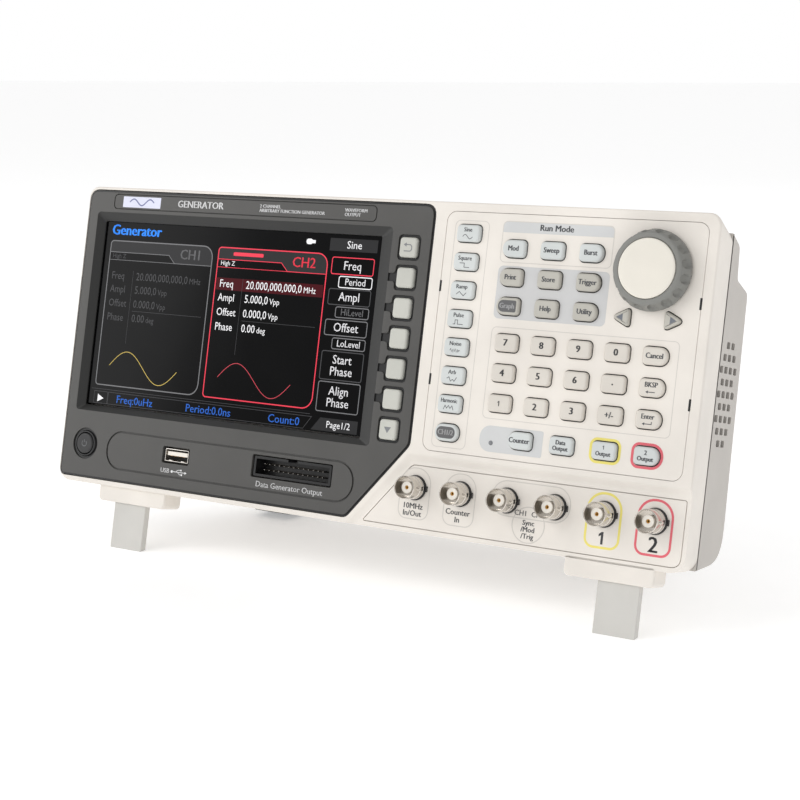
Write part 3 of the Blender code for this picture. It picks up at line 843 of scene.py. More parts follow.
# %% Bezel: openings
STEP_Y = 0.45
WINDOW_OUTER = (-149.8, 12.0, 33.5, 126.2)
WINDOW_INNER = (-146.5, 5.4, 36.2, 122.2)
STRIP = (-140.8, 3.2, 127.8, 134.9)
PORT_PLATE = (-128.9, 6.6, 8.0, 25.8)
USB_CENTRE = (-88.6, 18.1)
HEADER_CENTRE = (-25.6, 18.7)
power_low, power_high = face_box("power_button")
POWER_CENTRE = face_centre("power_button")
soft_names = ["return", "1", "2", "3", "4", "5", "next"]


def centred(cx, cz, w, h, r, steps=6):
    return rounded(cx - w / 2, cx + w / 2, cz - h / 2, cz + h / 2, r, steps)


def soft_well(name, cx, cz):
    """A soft key's well; the five blank keys' wells run into the screen recess."""
    x0, x1, z0, z1 = cx - 5.4, cx + 5.4, cz - 5.4, cz + 5.4
    if name in ("return", "next"):
        return rounded(x0, x1, z0, z1, 1.8)
    mouth = WINDOW_OUTER[1] - 0.6
    notch = [(mouth, cz - 1.7), (x0, cz - 1.7), (x0, z0), (x1, z0), (x1, z1), (x0, z1),
             (x0, cz + 1.7), (mouth, cz + 1.7)]
    return smooth_corners(notch, [0.2, 1.6, 1.6, 1.9, 1.9, 1.6, 1.6, 0.2])


key_centres = {name: face_centre(f"softkey_{name}") for name in soft_names}
soft_holes = [centred(x, z, 8.8, 8.9, 1.7) for x, z in key_centres.values()]


def screen_opening():
    """The screen recess in the upper plate, joined with the channels of the five wells."""
    x0, x1, z0, z1 = WINDOW_OUTER
    rim = rounded(x0, x1, z0, z1, 1.6)
    per_corner = len(rim) // 4
    right_side = []
    for name in ("5", "4", "3", "2", "1"):
        cx, cz = key_centres[name]
        well = soft_well(name, cx, cz)
        steps = len(well) // 8
        inner = well[steps:-steps]
        right_side += [(x1, cz - 1.7)] + inner + [(x1, cz + 1.7)]
    return rim[:2 * per_corner] + right_side + rim[2 * per_corner:]


# %% Bezel: the two plates
rim = bezel_outline()
usb_hole = centred(*USB_CENTRE, 15.1, 7.5, 0.8)
header_hole = centred(*HEADER_CENTRE, 42.0, 9.9, 0.8)
power_hole = circle(*POWER_CENTRE, 5.1, 40)
power_well = circle(*POWER_CENTRE, 7.2, 48)
groove = rounded(*PORT_PLATE, 8.6, 10)
island = grown(groove, -0.75)
strip = rounded(*STRIP, 2.2)
upper_openings = [screen_opening(), soft_well("return", *key_centres["return"]),
                  soft_well("next", *key_centres["next"]), groove, island, strip,
                  grown(strip, -0.35), power_well, usb_hole, header_hole]
window = rounded(*WINDOW_OUTER, 1.6)
lower_openings = [window, *soft_holes, power_hole, usb_hole, header_hole]
upper = plate([grown(rim, -0.85)] + upper_openings, bezel_low.y, STEP_Y, 0.16)
lower = plate([grown(rim, -0.02)] + lower_openings, STEP_Y - 0.02, bezel_high.y, 0.12)
shadow_line = plate([grown(rim, -0.04), grown(rim, -1.2)], STEP_Y - 0.1, STEP_Y + 0.1, 0.04)
parts = [(upper, BEZEL), (lower, BEZEL), (shadow_line, SATIN_BLACK)]
# A thin black plate on the floor of each soft key's well is painted shade: it stands in for the
# dark gap and shadow round the key.
for (name, centre), hole in zip(key_centres.items(), soft_holes):
    well = grown(soft_well(name, *centre), -0.06)
    parts.append((plate([well, hole], STEP_Y - 0.06, STEP_Y + 0.2, 0.04), SATIN_BLACK))
slope_rings = []
for t, y in ((0.0, bezel_low.y + 0.12), (0.06, bezel_low.y + 0.35), (0.94, 2.0), (1.0, 2.5)):
    bounds = [a + (b - a) * t for a, b in zip(WINDOW_OUTER, WINDOW_INNER)]
    slope_rings.append([(x, y, z) for x, z in rounded(*bounds, 1.6 - t)])
outer_wall = [(x, 2.9, z) for x, z in rounded(*WINDOW_OUTER, 1.6)]
back_wall = [(x, 2.9, z) for x, z in rounded(*WINDOW_INNER, 0.6)]
parts.append((loft(slope_rings + [back_wall, outer_wall], loop=True), RECESS))
well_floor = plate([circle(*POWER_CENTRE, 7.15, 48), power_hole], STEP_Y - 0.06, STEP_Y + 0.2, 0.05)
power_ring = lathe([(5.15, STEP_Y), (5.15, bezel_low.y - 0.05), (5.3, bezel_low.y - 0.2),
                    (5.75, bezel_low.y - 0.2), (6.2, STEP_Y - 0.2), (6.2, STEP_Y)],
                   *POWER_CENTRE, 48, loop=True)
parts += [(well_floor, SATIN_BLACK), (power_ring, SATIN_BLACK)]
print("bezel openings:", len(upper_openings), "sunk and", len(lower_openings), "through")

# %% [markdown]
# ## Words on the bezel
#
# The name strip carries a plain label with a sine sign and a few general words. Under the
# ports are the usual names of the two sockets, and the three-pronged sign of a serial bus.

# %% Words on the bezel
bezel_print = bezel_low.y - PRINT


def sine_points(x0, x1, z, height, turns=1.0, steps=28):
    span = x1 - x0
    return [(x0 + span * i / steps, z + height / 2 * math.sin(turns * 2 * math.pi * i / steps))
            for i in range(steps + 1)]


STRIP_Z = 131.35
label = centred(-124.4, STRIP_Z, 22.0, 5.0, 0.25)
parts += [(ink([label], bezel_print), LILAC_INK),
          (stroke(sine_points(-131.5, -117.3, STRIP_Z, 2.9, 1.5), 0.6, bezel_print - 0.02),
           SLATE_INK),
          (words("GENERATOR", -90.6, STRIP_Z, 2.35, bezel_print, bold=0.1), WHITE_INK),
          (words("2 CHANNEL\nARBITRARY FUNCTION GENERATOR", -57.8, STRIP_Z, 1.1, bezel_print,
                 "LEFT", 0.05), WHITE_INK),
          (words("WAVEFORM\nOUTPUT", -13.0, STRIP_Z, 1.1, bezel_print, "LEFT", 0.05), WHITE_INK),
          (words("USB", -93.8, 10.9, 1.55, bezel_print, bold=0.05), WHITE_INK),
          (words("Data Generator Output", -26.0, 10.9, 1.9, bezel_print, bold=0.03), WHITE_INK)]
bus_z = 10.9
parts += [(stroke(points, width, bezel_print), WHITE_INK) for points, width in (
    ([(-89.6, bus_z), (-82.6, bus_z)], 0.28),
    ([(-87.6, bus_z), (-86.4, bus_z + 1.0), (-84.9, bus_z + 1.0)], 0.24),
    ([(-86.6, bus_z), (-85.4, bus_z - 1.0), (-84.4, bus_z - 1.0)], 0.24))]
parts += [(ink([rim], bezel_print), WHITE_INK) for rim in (
    circle(-89.8, bus_z, 0.62, 16), circle(-84.7, bus_z + 1.0, 0.4, 12),
    centred(-84.2, bus_z - 1.0, 0.8, 0.8, 0.05, 1),
    [(-82.6, bus_z - 0.6), (-81.4, bus_z), (-82.6, bus_z + 0.6)])]
piece("screen_bezel_moulding", parts, "case", ["screen_bezel"])
print("bezel with", len(parts), "shapes")

# %% [markdown]
# ## Key panel and its print
#
# The keys come through a thin cream plate. A black plate just behind it, with tighter
# holes, draws the fine shadow line round each key. Bands of grey and thin outlines group
# the keys. A band can't simply lie over the holes, so its ink is filled round them: every
# key's outline is a hole in it.

# %% Key panel: key outlines
COOL_NAMES = ["sine", "square", "ramp", "pulse", "noise", "arbitrary", "harmonic", "channel",
              "modulation", "sweep", "burst", "counter", "data_output", "output_1", "output_2"]
UTILITY_NAMES = ["print", "store", "trigger", "graph", "help", "utility"]
PAD_NAMES = ["7", "8", "9", "0", "cancel", "4", "5", "6", "point", "backspace",
             "1", "2", "3", "sign", "enter", "arrow_left", "arrow_right"]
STYLES = {"modulation": "left", "print": "left", "graph": "left", "counter": "left",
          "burst": "right", "trigger": "right", "utility": "right", "cancel": "right",
          "backspace": "right", "enter": "right", "output_2": "right", "channel": "oval",
          "arrow_left": "point_left", "arrow_right": "point_right"}
LIP = 0.7
panel_keys = {}
for name in COOL_NAMES + UTILITY_NAMES + PAD_NAMES:
    low, high = face_box(f"key_{name}")
    panel_keys[name] = ((low.x + high.x) / 2, (low.z + high.z) / 2,
                        high.x - low.x - 2 * LIP, high.z - low.z - 2 * LIP)


def key_rim(name, grow_by=0.0):
    """A key's outline, which depends on where it stands in its row."""
    cx, cz, w, h = panel_keys[name]
    style = STYLES.get(name, "plain")
    small, big = 1.7, h / 2 - 0.2
    if style.startswith("point"):
        tip = -w / 2 if style == "point_left" else w / 2
        tall = h / 2 + 0.2
        rim = smooth_corners([(tip, 0.0), (-tip * 0.9, -tall), (-tip * 0.9, tall)],
                             [2.9, 1.9, 1.9], 6)
        return grown([(cx + x, cz + z) for x, z in rim], grow_by)
    radii = {"plain": [small] * 4, "left": [big, small, small, big],
             "right": [small, big, big, small], "oval": [big] * 4}[style]
    return grown(centred(cx, cz, w, h, radii), grow_by)


knob_low, knob_high = face_box("knob_grip")
KNOB_X, KNOB_Z = face_centre("knob_grip")
KNOB_R = (knob_high.x - knob_low.x) / 2
snap_slots = [(x, z) for x in (panel_low.x, panel_high.x) for z in (103.0, 64.3)]

# %% Key panel: plate and print
face_ink = -PRINT
holes = [key_rim(name, 0.45) for name in panel_keys]
shadow_plate_holes = [key_rim(name, 0.05) for name in panel_keys]
panel_plate = plate([grown(panel_outline(), 0.12)] + holes + [circle(KNOB_X, KNOB_Z, 4.0, 24)],
                    panel_low.y, panel_high.y, 0.14)
# The black plate is painted shadow: its rim round each key shows as the dark line in the gap.
shadow_plate = plate([grown(panel_outline(), -2.0)] + shadow_plate_holes +
                     [circle(KNOB_X, KNOB_Z, 4.0, 24)], 0.3, 1.2, 0.05)
parts = [(panel_plate, CREAM), (shadow_plate, SATIN_BLACK)]


def band(x0, x1, z0, z1, radii, names, look):
    """A printed grey area with the key holes left out."""
    rim = rounded(x0, x1, z0, z1, radii)
    return (ink([rim] + [key_rim(name, 0.5) for name in names], face_ink), look)


parts += [(ring_ink(rounded(41.6, 57.6, 36.8, 130.6, 2.4), 0.3, face_ink), LINE_INK),
          band(63.8, 113.2, 126.5, 131.1, [0.1, 0.1, 2.0, 2.0], [], COOL_BAND),
          (ring_ink(rounded(63.8, 113.2, 114.2, 131.1, 2.2), 0.3, face_ink - 0.01), LINE_INK),
          band(63.8, 113.2, 91.4, 112.9, 2.2, UTILITY_NAMES, MIST_BAND),
          (ring_ink(rounded(63.8, 145.4, 50.7, 88.1, 2.2), 0.3, face_ink), LINE_INK),
          band(63.8, 92.2, 37.4, 48.0, [4.6, 0.8, 0.8, 4.6], ["counter"], COOL_BAND),
          (words("Run Mode", 88.0, 128.8, 1.9, face_ink - 0.03, bold=0.14), TEXT_INK)]
for name, look in (("output_1", YELLOW_INK), ("output_2", RED_INK)):
    parts.append((ink([key_rim(name, 1.55), key_rim(name, 0.5)], face_ink), look))
lamp = lathe([(0.05, -0.45), (0.5, -0.4), (0.8, -0.25), (1.0, 0.0), (1.0, 1.0)], 69.1, 41.0, 24)
parts.append((lamp, GREY_INK))
# Each snap slot is a thin black block on the panel face: painted shade for the dark inside of a
# slot.
for x, z in snap_slots:
    parts.append((block(centred(x, z, 0.95, 4.6, 0.12, 1), -0.025, 0.6), SATIN_BLACK))
piece("key_panel_plate", parts, "case", ["key_panel"])
print("key panel with", len(holes), "key holes")

# %% [markdown]
# ## Keys
#
# The keys are silicone rubber. Their tops are very slightly dished at the rim and rounded
# over the edge, and each carries its word or sign in dark ink. Every key presses on its
# own, so each one is its own piece, and the print goes with it as faces of the same mesh.

# %% Keys: words and signs
TOP_INK = 0.03


def wave_sign(kind, cx, cz):
    """The little waveform under a key's name, as points of one stroke."""
    w, h = 2.3, 0.85
    shapes = {"square": [(-w, h), (-0.1, h), (-0.1, -h), (w, -h)],
              "ramp": [(-w, -h * 0.4), (-w * 0.4, h), (w * 0.45, -h), (w, 0.5)],
              "pulse": [(-w, -h), (-w * 0.6, -h), (-w * 0.6, h), (-0.2, h), (-0.2, -h), (w, -h)],
              "noise": [(-w + i * w / 6, h * s) for i, s in enumerate(
                  (0.0, 0.9, -0.7, 0.5, -0.9, 0.8, -0.4, 0.9, -0.8, 0.6, -0.6, 0.3, 0.0))],
              "arbitrary": [(-w, 0.2), (-w * 0.55, h), (-w * 0.2, -h), (w * 0.2, -0.1),
                            (w * 0.55, -h), (w, h)],
              "harmonic": [(-w, -h), (-w * 0.7, h), (-w * 0.35, -h * 0.3), (0.0, h),
                           (w * 0.35, -h * 0.3), (w * 0.7, h), (w, -h)]}
    if kind == "sine":
        return sine_points(cx - w, cx + w, cz, 2 * h, 1.0)
    return [(cx + x, cz + z) for x, z in shapes[kind]]


WAVE_WORDS = {"sine": "Sine", "square": "Square", "ramp": "Ramp", "pulse": "Pulse",
              "noise": "Noise", "arbitrary": "Arb", "harmonic": "Harmonic"}
KEY_WORDS = {"modulation": "Mod", "sweep": "Sweep", "burst": "Burst", "print": "Print",
             "store": "Store", "trigger": "Trigger", "graph": "Graph", "help": "Help",
             "utility": "Utility", "cancel": "Cancel", "sign": "+/-",
             "counter": "Counter", "data_output": "Data\nOutput",
             "output_2": "2\nOutput", "channel": "CH1/2"}


LENS_KEYS = ("graph", "channel")
LENS_HEIGHT = 0.12


def key_print(name, cx, cz, y):
    """The inked shapes on one key's top."""
    if name in WAVE_WORDS:
        long_word = name == "harmonic"
        return [(words(WAVE_WORDS[name], cx, cz + 1.35, 1.3, y, bold=0.08,
                       narrow=0.78 if long_word else 0.95), TEXT_INK),
                (stroke(wave_sign(name, cx, cz - 1.5), 0.26, y), TEXT_INK)]
    if name == "point":
        return [(ink([circle(cx, cz - 0.2, 0.36, 16)], y), DEEP_INK)]
    if name == "1":
        return [(figure_one(cx + 0.2, cz, 2.1, y), DEEP_INK)]
    if name == "output_1":
        return [(figure_one(cx + 0.1, cz + 1.35, 1.5, y), TEXT_INK),
                (words("Output", cx, cz - 1.2, 1.35, y, bold=0.1, narrow=0.84), TEXT_INK)]
    if name in KEY_WORDS:
        size = 1.9 if name == "sign" else 1.35 if "\n" in KEY_WORDS[name] else 1.6
        look = LENS_INK if name in LENS_KEYS else TEXT_INK
        return [(words(KEY_WORDS[name], cx, cz, size, y, bold=0.13, narrow=0.88), look)]
    if name in ("backspace", "enter"):
        text = {"backspace": "BKSP", "enter": "Enter"}[name]
        arrow = [(cx + 1.8, cz - 1.7), (cx - 1.2, cz - 1.7)]
        if name == "enter":
            arrow = [(cx + 1.8, cz - 0.7)] + arrow
        head = [(cx - 1.1, cz - 1.1), (cx - 2.1, cz - 1.7), (cx - 1.1, cz - 2.3)]
        return [(words(text, cx, cz + 1.1, 1.5, y, bold=0.11, narrow=0.88), TEXT_INK),
                (stroke(arrow, 0.3, y), TEXT_INK), (ink([head], y), TEXT_INK)]
    if name.startswith("arrow"):
        tip = -1.45 if name == "arrow_left" else 1.45
        head = [(cx + tip, cz), (cx - tip * 0.8, cz + 1.4), (cx - tip * 0.8, cz - 1.4)]
        return [(ink([head], y), SLATE_GREY)]
    return [(words(name, cx, cz, 2.05, y, bold=0.18), DEEP_INK)]


def key_cap(rim, front, back):
    """A key: a flat top with a soft edge, straight sides, and a retaining lip behind."""
    stack = [(-inset, front + deep) for inset, deep in edge_steps(0.95, 5)]
    stack += [(0.0, back - 1.0), (LIP, back - 1.0), (LIP, back)]
    return loft([[(x, y, z) for x, z in grown(rim, by)] for by, y in stack])


# %% Keys: build them all
for name, (cx, cz, w, h) in panel_keys.items():
    low, high = face_box(f"key_{name}")
    rim = key_rim(name)
    if name in COOL_NAMES:
        rubber, slot = COOL_KEY, "cool_key"
    elif name in UTILITY_NAMES or name.startswith("arrow"):
        rubber, slot = WARM_KEY, "warm_key"
    else:
        rubber, slot = SAND_KEY, "warm_key"
    parts = [(key_cap(rim, low.y, high.y), rubber)]
    top = low.y
    if name in LENS_KEYS:
        top = low.y - LENS_HEIGHT
        parts.append((block(grown(rim, -1.1), top, low.y + 0.3, 0.1), DARK_KEY))
    parts += key_print(name, cx, cz, top - TOP_INK)
    piece(f"key_cap_{name}", parts, f"key_{name}", [f"key_{name}"])
for name, (cx, cz) in key_centres.items():
    low, high = face_box(f"softkey_{name}")
    rim = centred(cx, cz, high.x - low.x - 2 * LIP, high.z - low.z - 2 * LIP, 1.5)
    parts = [(key_cap(rim, low.y, high.y), SOFT_KEY)]
    top = low.y - TOP_INK
    if name == "return":
        hook = [(cx - 1.8, cz - 1.6), (cx + 1.2, cz - 1.6), (cx + 1.9, cz - 1.0),
                (cx + 1.9, cz + 0.4), (cx + 1.2, cz + 1.1), (cx - 0.8, cz + 1.1)]
        head = [(cx - 0.7, cz + 2.0), (cx - 2.1, cz + 1.1), (cx - 0.7, cz + 0.2)]
        parts += [(stroke(hook, 0.42, top), GREY_INK), (ink([head], top), GREY_INK)]
    if name == "next":
        head = [(cx - 1.7, cz + 1.1), (cx, cz - 1.5), (cx + 1.7, cz + 1.1)]
        parts.append((ink([head], top), GREY_INK))
    piece(f"soft_key_cap_{name}", parts, f"softkey_{name}", [f"softkey_{name}"])
print(len(panel_keys) + len(key_centres), "keys")

# %% [markdown]
# ## Power button
#
# A small round rubber button in a black ring, with the usual standby sign pressed into it.

# %% Power button
px, pz = POWER_CENTRE
button_r = (power_high.x - power_low.x) / 2 - 1.2
profile = [(0.02, power_low.y + 0.12), (1.6, power_low.y + 0.08), (button_r - 0.9, power_low.y)]
profile += [(button_r - inset, power_low.y + deep) for inset, deep in edge_steps(0.8)[1:]]
profile += [(button_r, power_high.y - 1.0), (button_r + 1.2, power_high.y - 1.0),
            (button_r + 1.2, power_high.y)]
arc = [(px + 1.35 * math.sin(a), pz + 1.35 * math.cos(a))
       for a in [math.radians(40 + 280 * i / 16) for i in range(17)]]
parts = [(lathe(profile, px, pz, 48), BUTTON),
         (stroke(arc, 0.26, power_low.y - TOP_INK), GREY_INK),
         (stroke([(px, pz + 1.7), (px, pz + 0.4)], 0.26, power_low.y - TOP_INK), GREY_INK)]
piece("power_button_cap", parts, "power_button", ["power_button"])

# %% [markdown]
# ## Knob
#
# The grip is a turned ring with sixteen finger dimples round its sloping side. Carving each
# dimple by hand would mean sixteen cuts. A rule is simpler: every point knows its angle and
# how far along the slope it lies, and the tree pushes it inwards where the two together
# fall inside an oval. The count and the depth are inputs.

# %% Knob: the dimple tree
dimple_tree = new_tree("finger_dimples", [("Count", "Int"), ("Depth", "Float"),
                                          ("Middle", "Float"), ("Half Length", "Float"),
                                          ("Half Width", "Float"), ("Material", "Material")])
calc = functools.partial(add_math, dimple_tree)
inputs = add_node(dimple_tree, "NodeGroupInput")
position = add_node(dimple_tree, "GeometryNodeInputPosition")
spot = add_node(dimple_tree, "ShaderNodeSeparateXYZ", Vector=position.outputs["Position"])
angle = calc("ARCTAN2", spot.outputs["Z"], spot.outputs["X"])
counted = calc("MULTIPLY", calc("DIVIDE", angle, 2 * math.pi), inputs.outputs["Count"])
within = calc("SUBTRACT", calc("FRACT", counted), 0.5)
across = calc("DIVIDE", within, inputs.outputs["Half Width"])
from_middle = calc("SUBTRACT", spot.outputs["Y"], inputs.outputs["Middle"])
along = calc("DIVIDE", from_middle, inputs.outputs["Half Length"])
squares = calc("ADD", calc("MULTIPLY", across, across), calc("MULTIPLY", along, along))
rise = add_node(dimple_tree, "ShaderNodeMapRange", Value=calc("SUBTRACT", 1.0, squares),
                From_Max=0.5)
rise.interpolation_type = "SMOOTHSTEP"
pushed = calc("MULTIPLY", rise.outputs["Result"], inputs.outputs["Depth"])
flat = add_node(dimple_tree, "ShaderNodeCombineXYZ", X=spot.outputs["X"], Z=spot.outputs["Z"])
unit = add_node(dimple_tree, "ShaderNodeVectorMath", Vector=flat.outputs["Vector"])
unit.operation = "NORMALIZE"
inward = add_node(dimple_tree, "ShaderNodeVectorMath")
inward.operation = "SCALE"
feed(dimple_tree, inward, Vector=unit.outputs["Vector"], Scale=calc("MULTIPLY", pushed, -1.0))
push = add_node(dimple_tree, "GeometryNodeSetPosition", Geometry=inputs.outputs["Geometry"],
                Offset=inward.outputs["Vector"])
end_tree(dimple_tree, inputs, push.outputs["Geometry"])

# %% Knob: grip and cap
cap_low, cap_high = face_box("knob_cap")
CAP_R = (cap_high.x - cap_low.x) / 2
front_y = knob_low.y
slope_foot, slope_top = (KNOB_R, -2.4), (KNOB_R - 1.6, front_y + 0.9)
grip_profile = [(3.0, knob_high.y), (3.0, -0.6), (KNOB_R - 0.5, -0.6), (KNOB_R - 0.12, -0.75),
                (KNOB_R, -1.1)]
for i in range(15):
    t = i / 14
    grip_profile.append((slope_foot[0] + (slope_top[0] - slope_foot[0]) * t,
                         slope_foot[1] + (slope_top[1] - slope_foot[1]) * t))
grip_profile += [(KNOB_R - 1.9, front_y + 0.4), (KNOB_R - 2.4, front_y + 0.08),
                 (KNOB_R - 3.0, front_y), (CAP_R + 0.35, front_y), (CAP_R + 0.2, front_y + 0.3),
                 (CAP_R + 0.2, cap_high.y + 0.3), (3.0, cap_high.y + 0.3)]
grip = grow(lathe(grip_profile, 0.0, 0.0, 288), dimple_tree, GRIP, Count=16, Depth=1.25,
            Middle=-4.4, Half_Length=2.7, Half_Width=0.34)
grip = moved(grip, Matrix.Translation((KNOB_X, 0.0, KNOB_Z)))
piece("knob_grip_ring", [(grip, GRIP)], "knob", ["knob_grip"])
cap_profile = [(0.02, cap_low.y), (5.0, cap_low.y + 0.02), (9.0, cap_low.y + 0.07),
               (CAP_R - 0.7, cap_low.y + 0.16), (CAP_R - 0.25, cap_low.y + 0.3),
               (CAP_R, cap_low.y + 0.6), (CAP_R, cap_high.y)]
piece("knob_cap_disc", [(lathe(cap_profile, KNOB_X, KNOB_Z, 96), CAP)], "knob",
      ["knob_cap"])
print(f"knob {2 * KNOB_R:.1f} mm across with a cap of {2 * CAP_R:.1f} mm")

# %% [markdown]
# ## Screen
#
# A liquid crystal screen is a black, slightly glossy sheet whose marks give off light. The
# marks are flat shapes just proud of the glass, in finishes that glow. They keep the gloss
# of the glass, so reflections run across them unbroken. The layout is that of any
# two-channel generator: one panel for each channel, a menu beside the soft keys, and a
# status bar below.


# %% Screen: lit finishes
def behind_glass(look):
    """The same finish with the faint reflection of coated glass."""
    look.node_tree.nodes["Principled BSDF"].inputs["Specular IOR Level"].default_value = 0.12
    return look


def lit(name, red, green, blue):
    """A mark on the screen: its colour glows, and its surface is as glossy as the glass."""
    mark = finish(name, tint(red, green, blue), 0.14, grain=0.0, clouds=0.03, glow=0.3)
    return behind_glass(mark)


GLASS = behind_glass(finish("screen_glass", tint(6, 6, 7), 0.12, grain=0.0, clouds=0.1))


LIT_WHITE = lit("lit_white", 228, 228, 230)
LIT_GREY = lit("lit_grey", 112, 112, 114)
LIT_DIM = lit("lit_dim", 70, 70, 72)
LIT_PANEL = lit("lit_panel", 46, 46, 47)
LIT_RED = lit("lit_red", 226, 66, 84)
LIT_ROSE = lit("lit_rose", 190, 72, 84)
LIT_MAROON = lit("lit_maroon", 66, 16, 22)
LIT_YELLOW = lit("lit_yellow", 196, 172, 92)
LIT_BLUE = lit("lit_blue", 52, 138, 240)
LIT_AZURE = lit("lit_azure", 62, 118, 210)

# %% Screen: glass and the two channel panels
glass_low, glass_high = face_box("display_module")
glass_y = glass_low.y
mark_y = glass_y - 0.03
rule_y, line_y, text_y = mark_y - 0.01, mark_y - 0.02, mark_y - 0.03
x0, x1, z0, z1 = WINDOW_INNER
glass_rim = rounded(glass_low.x, x1 + 2.0, glass_low.z, glass_high.z, 0.8)
strip_back = block(rounded(x1 - 4.0, glass_high.x, glass_low.z, glass_high.z, 0.8), 6.2, 7.6)
parts = [(block(glass_rim, glass_y, glass_high.y, 0.2), GLASS), (strip_back, SATIN_BLACK)]
PANEL_Z = (45.8, 113.7)
PANELS = {"CH1": (-143.0, -83.1, LIT_GREY, LIT_DIM, LIT_PANEL, LIT_YELLOW),
          "CH2": (-80.3, -21.0, LIT_RED, LIT_WHITE, LIT_PANEL, LIT_ROSE)}
READINGS = [("Freq", "20.000,000,000,0", "MHz", 97.2), ("Ampl", "5.000,0", "Vpp", 91.0),
            ("Offset", "0.000,0", "Vpp", 84.5), ("Phase", "0.00", "deg", 77.9)]
TAB_Z = (108.2, 104.6)
left_words = functools.partial(words, y=text_y, align="LEFT")
for title, (left, right, line, text, top, wave) in PANELS.items():
    rim = rounded(left, right, *PANEL_Z, [1.8, 5.4, 5.4, 1.8], 8)
    inner = grown(rim, -0.25)
    tab = [(left + 0.3, TAB_Z[0]), (left + 35.0, TAB_Z[0]), (left + 38.6, TAB_Z[1]),
           (right - 0.3, TAB_Z[1])]
    head = [p for p in inner if p[1] > TAB_Z[0]] + tab
    parts += [(ring_ink(rim, 0.5, line_y), line),
              (ink([head], mark_y), top),
              (stroke(tab, 0.3, line_y), line),
              (stroke([(left + 0.3, TAB_Z[1]), (left + 38.6, TAB_Z[1])], 0.22, rule_y), line),
              (words(title, right - 12.4, 108.8, 3.4, text_y, bold=0.06), line),
              (left_words("High Z", left + 2.0, 106.4, 1.5), text),
              (stroke([(left + 15.3, 100.0), (left + 15.3, 66.0)], 0.16, rule_y), LIT_DIM),
              (stroke([(left + 17.0, 81.3), (right - 3.0, 81.3)], 0.16, rule_y), LIT_DIM),
              (stroke(sine_points(left + 7.2, left + 46.8, 55.4, 13.8, 1.0, 48), 0.28,
                      line_y), wave)]
    for label, value, unit, z in READINGS:
        figures = left_words(value, left + 17.2, z, 2.7, narrow=0.86)
        end = max(v.co.x for v in figures.vertices)
        parts += [(left_words(label, left + 2.6, z, 2.6, narrow=0.86), text), (figures, text),
                  (left_words(unit, end + 0.9, z - 0.3, 2.0, narrow=0.9), text)]
left, right = PANELS["CH2"][:2]
parts += [(ink([rounded(left + 0.8, right - 1.0, 94.4, 99.9, 0.2)], mark_y - 0.005), LIT_MAROON),
          (ink([rounded(left + 8.6, left + 25.0, 110.0, 111.6, 0.5)], text_y), LIT_RED)]

# %% Screen: menu, title and status bar
MENU = [("Freq", 0.0, 104.9, 112.5, 2.9, LIT_RED, LIT_WHITE),
        ("Period", 4.5, 99.2, 104.4, 2.3, LIT_WHITE, LIT_WHITE),
        ("Ampl", 0.0, 91.7, 98.9, 2.9, LIT_DIM, LIT_WHITE),
        ("HiLevel", 4.5, 86.3, 91.2, 2.2, LIT_GREY, LIT_GREY),
        ("Offset", 0.0, 78.5, 85.6, 2.9, LIT_GREY, LIT_WHITE),
        ("LoLevel", 4.5, 72.7, 77.8, 2.2, LIT_GREY, LIT_WHITE),
        ("Start\nPhase", 0.0, 59.4, 72.0, 2.9, LIT_DIM, LIT_WHITE),
        ("Align\nPhase", 0.0, 45.6, 58.8, 2.9, LIT_GREY, LIT_WHITE)]
menu_left, menu_right = -19.1, 2.6
for text, inset, low_z, high_z, height, line, look in MENU:
    rim = rounded(menu_left + inset, menu_right, low_z, high_z, 1.1)
    parts += [(ring_ink(rim, 0.4, mark_y), line),
              (words(text, (menu_left + inset + menu_right) / 2, (low_z + high_z) / 2, height,
                     line_y, bold=0.02, narrow=0.92), look)]
page_tab = [(-20.4, 37.4), (3.2, 37.4), (3.2, 43.0), (-16.0, 43.0)]
bar_z = (37.4, 42.9)
parts += [(ink([rounded(-21.0, 3.3, 115.0, 120.5, 0.2)], mark_y), LIT_PANEL),
          (words("Sine", -8.4, 117.7, 2.5, line_y), LIT_WHITE),
          (ink([page_tab], mark_y), LIT_PANEL),
          (words("Page1/2", -6.6, 40.2, 2.2, line_y, narrow=0.95), LIT_WHITE),
          (words("Generator", -143.0, 118.4, 3.6, mark_y, "LEFT", 0.22), LIT_BLUE),
          (ink([[(-140.6, 38.0), (-137.0, 39.8), (-140.6, 41.6)]], mark_y), LIT_WHITE)]
for text, x in (("Freq:0uHz", -129.4), ("Period:0.0ns", -89.0), ("Count:0", -43.4)):
    parts.append((words(text, x, 39.9, 2.7, mark_y, "LEFT", 0.02), LIT_AZURE))
parts += [(ink([rounded(-33.4, -30.0, 117.2, 119.6, 1.1)], mark_y), LIT_WHITE),
          (ink([rounded(-30.2, -28.6, 117.7, 119.1, 0.2)], rule_y), LIT_WHITE),
          (stroke([(-144.5, 44.0), (-21.5, 44.0)], 0.18, mark_y), LIT_DIM)]
for bar in ([(-142.8, bar_z[0]), (-142.8, bar_z[1]), (-134.8, bar_z[1]), (-134.8, bar_z[0])],
            [(-134.4, bar_z[0]), (-24.5, bar_z[0]), (-20.6, bar_z[1]), (-134.4, bar_z[1])]):
    parts.append((stroke(bar, 0.2, mark_y, closed=True), LIT_DIM))
piece("screen", parts, "case", ["display_module"])
print("screen with", len(parts) - 2, "lit marks")

# %% [markdown]
# ## Ports
#
# The serial port is a folded nickel shell round a white tongue with four gold contacts. The
# data port is a black shrouded header with two rows of thirteen plated pins, and a notch in
# its upper wall that stops a plug going in upside down. Pins and contacts come from the
# grid tree.

